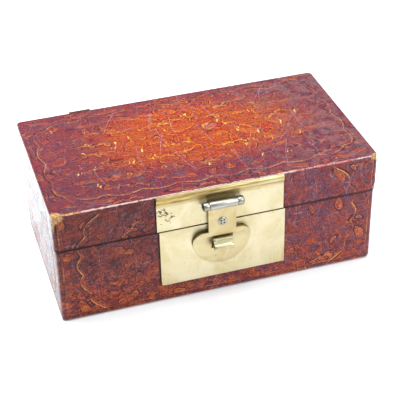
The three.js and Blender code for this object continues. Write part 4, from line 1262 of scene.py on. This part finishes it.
def rivet():
    """A domed rivet with four shallow dimples, spread flat behind the hasp's neck."""
    low, high = box_mm("hasp_rivet")
    cx, cz = (low[0] + high[0]) / 2, (low[2] + high[2]) / 2
    radius, shank = (high[0] - low[0]) / 2, 1.3
    neck_front, neck_back = low[1] + 0.8, high[1] - 0.5
    rings = [(r, low[1] + 0.8 * (r / radius) ** 5) for r in np.linspace(0.12, radius, DOME_RINGS)]
    rings += [(radius, neck_front), (shank, neck_front), (shank, neck_back), (2.1, neck_back),
              (1.8, high[1] - 0.05), (0.12, high[1])]
    turns = np.arange(RIVET_SIDES) / RIVET_SIDES * 2 * math.pi
    points, dirt_and_shade = [], []
    for k, (r, y) in enumerate(rings):
        x, z = r * np.cos(turns), r * np.sin(turns)
        depth = np.zeros(len(turns))
        inside_rim = k < DOME_RINGS - 1
        if inside_rim:
            for q in range(4):
                at = math.pi / 4 + q * math.pi / 2
                away = np.hypot(x - DIMPLE_RING * math.cos(at), z - DIMPLE_RING * math.sin(at))
                depth += DIMPLE_DEPTH * np.exp(-(away**2) / 0.26)
        points.append(np.stack([cx + x, y + depth, cz + z], 1))
        dirt_and_shade.append(depth * 2.2 if inside_rim else np.full(len(turns), 0.4))
    faces = hoop_faces(len(rings), RIVET_SIDES, closed=False)
    last = (len(rings) - 1) * RIVET_SIDES
    faces += [tuple(range(RIVET_SIDES - 1, -1, -1)), tuple(range(last, last + RIVET_SIDES))]
    points = np.concatenate(points)
    obj = mesh_object("hasp_rivet_piece", points, outward(points, faces),
                      {"dirt_and_shade": np.concatenate(dirt_and_shade)})
    obj.data.set_sharp_from_angle(angle=math.radians(40))
    settle(obj, "hasp", "hasp_rivet", "nickel")


rivet()

# ---------------------------------------------------------------- boards

for name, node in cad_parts.items():
    if name.endswith("_board"):
        dress(node, "wood")

# ---------------------------------------------------------------- silk linings and pads


def lining(node, body):
    """A card covered in silk: its faces lie unevenly, just inside the CAD card's own."""
    low, high = box_mm(node)
    size = high - low
    cells = [max(1, int(s / 3)) if s > 5 else 1 for s in size]

    def uneven(points):
        along, thin = points[:, 0] + points[:, 1], int(np.argmin(size))
        crease = 0.10 * (cloudy(along, points[:, 2] * 1.5, 15, sum(map(ord, node)), 2) - 0.5)
        side = np.sign(points[:, thin] - (low[thin] + high[thin]) / 2)
        moved = points.copy()
        moved[:, thin] += (crease - 0.05) * side
        return moved, None

    obj = slab(node + "_silk", low, high, CARD_ROUNDING, cells, uneven)
    settle(obj, body, node, "lining_silk")


for body in ("base", "lid"):
    for side in ("front", "back", "left", "right"):
        lining(f"{body}_{side}_lining", body)


PAD_SHRINK = (0.999, 0.998, 0.72)  # share of the CAD pad that the cloth swells from
PAD_VOXEL = 0.0021  # metres
PAD_SWELL = 1.6  # furthest a point of a pad moves as it swells
PAD_CLEAR = 0.05  # how far a pad stays inside the CAD pad's box
PAD_CROWN = 0.9  # how far the top of the floor pad, alone, may stand past that box
SWELL_FRAMES = 20
CLOTH = {"use_pressure": True, "uniform_pressure_force": 4, "quality": 6,
         "tension_stiffness": 12, "compression_stiffness": 12}


def coordinates(mesh):
    co = np.zeros(len(mesh.vertices) * 3)
    mesh.vertices.foreach_get("co", co)
    return co.reshape(-1, 3)


def modify(obj, kind, **settings):
    """Adds a modifier and applies it at once."""
    modifier = obj.modifiers.new(kind.lower(), kind)
    for key, value in settings.items():
        setattr(modifier, key, value)
    with bpy.context.temp_override(object=obj, active_object=obj, selected_objects=[obj]):
        bpy.ops.object.modifier_apply(modifier=modifier.name)


def swelled(obj):
    """Where a pad's points come to as cloth under a little pressure."""
    cloth = obj.modifiers.new("cloth", "CLOTH")
    for key, value in CLOTH.items():
        setattr(cloth.settings, key, value)
    cloth.settings.effector_weights.gravity = 0
    cloth.collision_settings.use_collision = False
    cloth.point_cache.frame_start, cloth.point_cache.frame_end = 1, SWELL_FRAMES
    for k in range(1, SWELL_FRAMES + 1):
        bpy.context.scene.frame_set(k)
    points = coordinates(obj.evaluated_get(bpy.context.evaluated_depsgraph_get()).data)
    obj.modifiers.remove(cloth)
    bpy.context.scene.frame_set(1)
    return points


def silk_pad(node, body, out):
    """Thin wadding under silk, swelled as cloth. out is +1 where its free face looks up."""
    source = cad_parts[node]
    low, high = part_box(node)
    obj = added(node + "_silk", source.data.copy())
    middle = (low + high) / 2
    shrink = Matrix.Diagonal((*PAD_SHRINK, 1))
    obj.data.transform(Matrix.Translation(middle) @ shrink @ Matrix.Translation(-middle))
    bpy.context.view_layer.objects.active = obj
    obj.select_set(True)
    modify(obj, "REMESH", mode="VOXEL", voxel_size=PAD_VOXEL)
    rest = coordinates(obj.data)
    move = swelled(obj) - rest
    length = np.linalg.norm(move, axis=1, keepdims=True)
    move *= np.minimum(1, PAD_SWELL * MM / np.maximum(length, 1e-9))
    points = (rest + move) / MM
    x, y, z = points.T
    low, high = box_mm(node)
    free = np.clip((z - (low[2] + high[2]) / 2) * out / (0.4 * (high[2] - low[2])), 0, 1)
    soft = smooth(np.minimum(high[0] - np.abs(x), high[1] - np.abs(y)), 0, 9)
    rumple = 0.7 * (cloudy(x, y, 19, 3 + int(out), 3) - 0.5) + 0.25 * (noise(x * 0.5, y, 4, 9) - 0.5)
    points[:, 2] += out * free * soft * (rumple + 0.35)
    low, high = low + PAD_CLEAR, high - PAD_CLEAR
    if out > 0:
        high[2] += PAD_CROWN + PAD_CLEAR
    points = np.clip(points, low, high) * MM
    obj.data.vertices.foreach_set("co", points.astype(np.float32).ravel())
    modify(obj, "SUBSURF", levels=1, render_levels=1)
    obj.data.polygons.foreach_set("use_smooth", [True] * len(obj.data.polygons))
    obj.select_set(False)
    settle(obj, body, node, "pad_silk")


silk_pad("base_floor_pad", "base", 1)
silk_pad("lid_pad", "lid", -1)

# ---------------------------------------------------------------- studio

scene = bpy.context.scene
scene.view_settings.view_transform = "Standard"

world = bpy.data.worlds.new("studio")
scene.world = world
world.use_nodes = True
sky = world.node_tree.nodes["Background"]
sky.inputs["Color"].default_value = (0.95, 0.98, 1.0, 1)
sky.inputs["Strength"].default_value = 0.29

FLOOR_REACH = 4000.0  # millimetres from the middle of the floor to its edges
floor = mesh_object("floor", [(x * FLOOR_REACH, y * FLOOR_REACH, 0)
                              for x, y in ((-1, -1), (1, -1), (1, 1), (-1, 1))], [(0, 1, 2, 3)])
floor.data.materials.append(Graph("studio_paper").surface(
    Base_Color=(0.93, 0.94, 0.95, 1), Roughness=0.9, Specular_IOR_Level=0.1))


def softbox(name, place, aim, width, height, watts, tint, spread=180):
    light = bpy.data.lights.new(name, "AREA")
    light.shape = "RECTANGLE"
    light.size, light.size_y = width, height
    light.energy = watts
    light.color = tint
    light.spread = math.radians(spread)
    obj = added(name, light)
    obj.location = place
    obj.rotation_euler = (Vector(aim) - Vector(place)).to_track_quat("-Z", "Y").to_euler()
    obj.visible_camera = False


COOL = (0.95, 0.985, 1.0)
softbox("overhead", (0.0, 0.1, 1.5), (0, 0, 0), 1.4, 1.4, 34, COOL)
softbox("front_right", (0.75, -0.9, 0.8), (0.05, 0, 0.04), 0.8, 0.6, 10, COOL)
softbox("left_floor", (-0.42, 0.28, 0.9), (-0.34, 0.17, 0.0), 0.4, 0.3, 2.3, (0.82, 0.96, 1.0), 40)

# ---------------------------------------------------------------- camera

CAMERA_AIM = Vector((0.0005, -0.0123, 0.0401))
CAMERA_DISTANCE = 0.766
CAMERA_LENS = 105.07  # millimetres, on a 36 mm wide sensor
CAMERA_AZIMUTH, CAMERA_ELEVATION, CAMERA_ROLL = (math.radians(d) for d in (16.61, 34.66, -1.39))
camera_data = bpy.data.cameras.new("camera")
camera_data.sensor_width = 36
camera_data.lens = CAMERA_LENS
camera_data.clip_start, camera_data.clip_end = 0.01, 50
camera = added("camera", camera_data)
forward = Vector((math.sin(CAMERA_AZIMUTH) * math.cos(CAMERA_ELEVATION),
                  math.cos(CAMERA_AZIMUTH) * math.cos(CAMERA_ELEVATION), -math.sin(CAMERA_ELEVATION)))
right = Vector((math.cos(CAMERA_AZIMUTH), -math.sin(CAMERA_AZIMUTH), 0))
right.rotate(Matrix.Rotation(-CAMERA_ROLL, 3, forward))
up = right.cross(forward)
camera.matrix_world = Matrix.Translation(CAMERA_AIM - forward * CAMERA_DISTANCE) @ Matrix(
    [[right[i], up[i], -forward[i]] for i in range(3)]).to_4x4()
scene.camera = camera
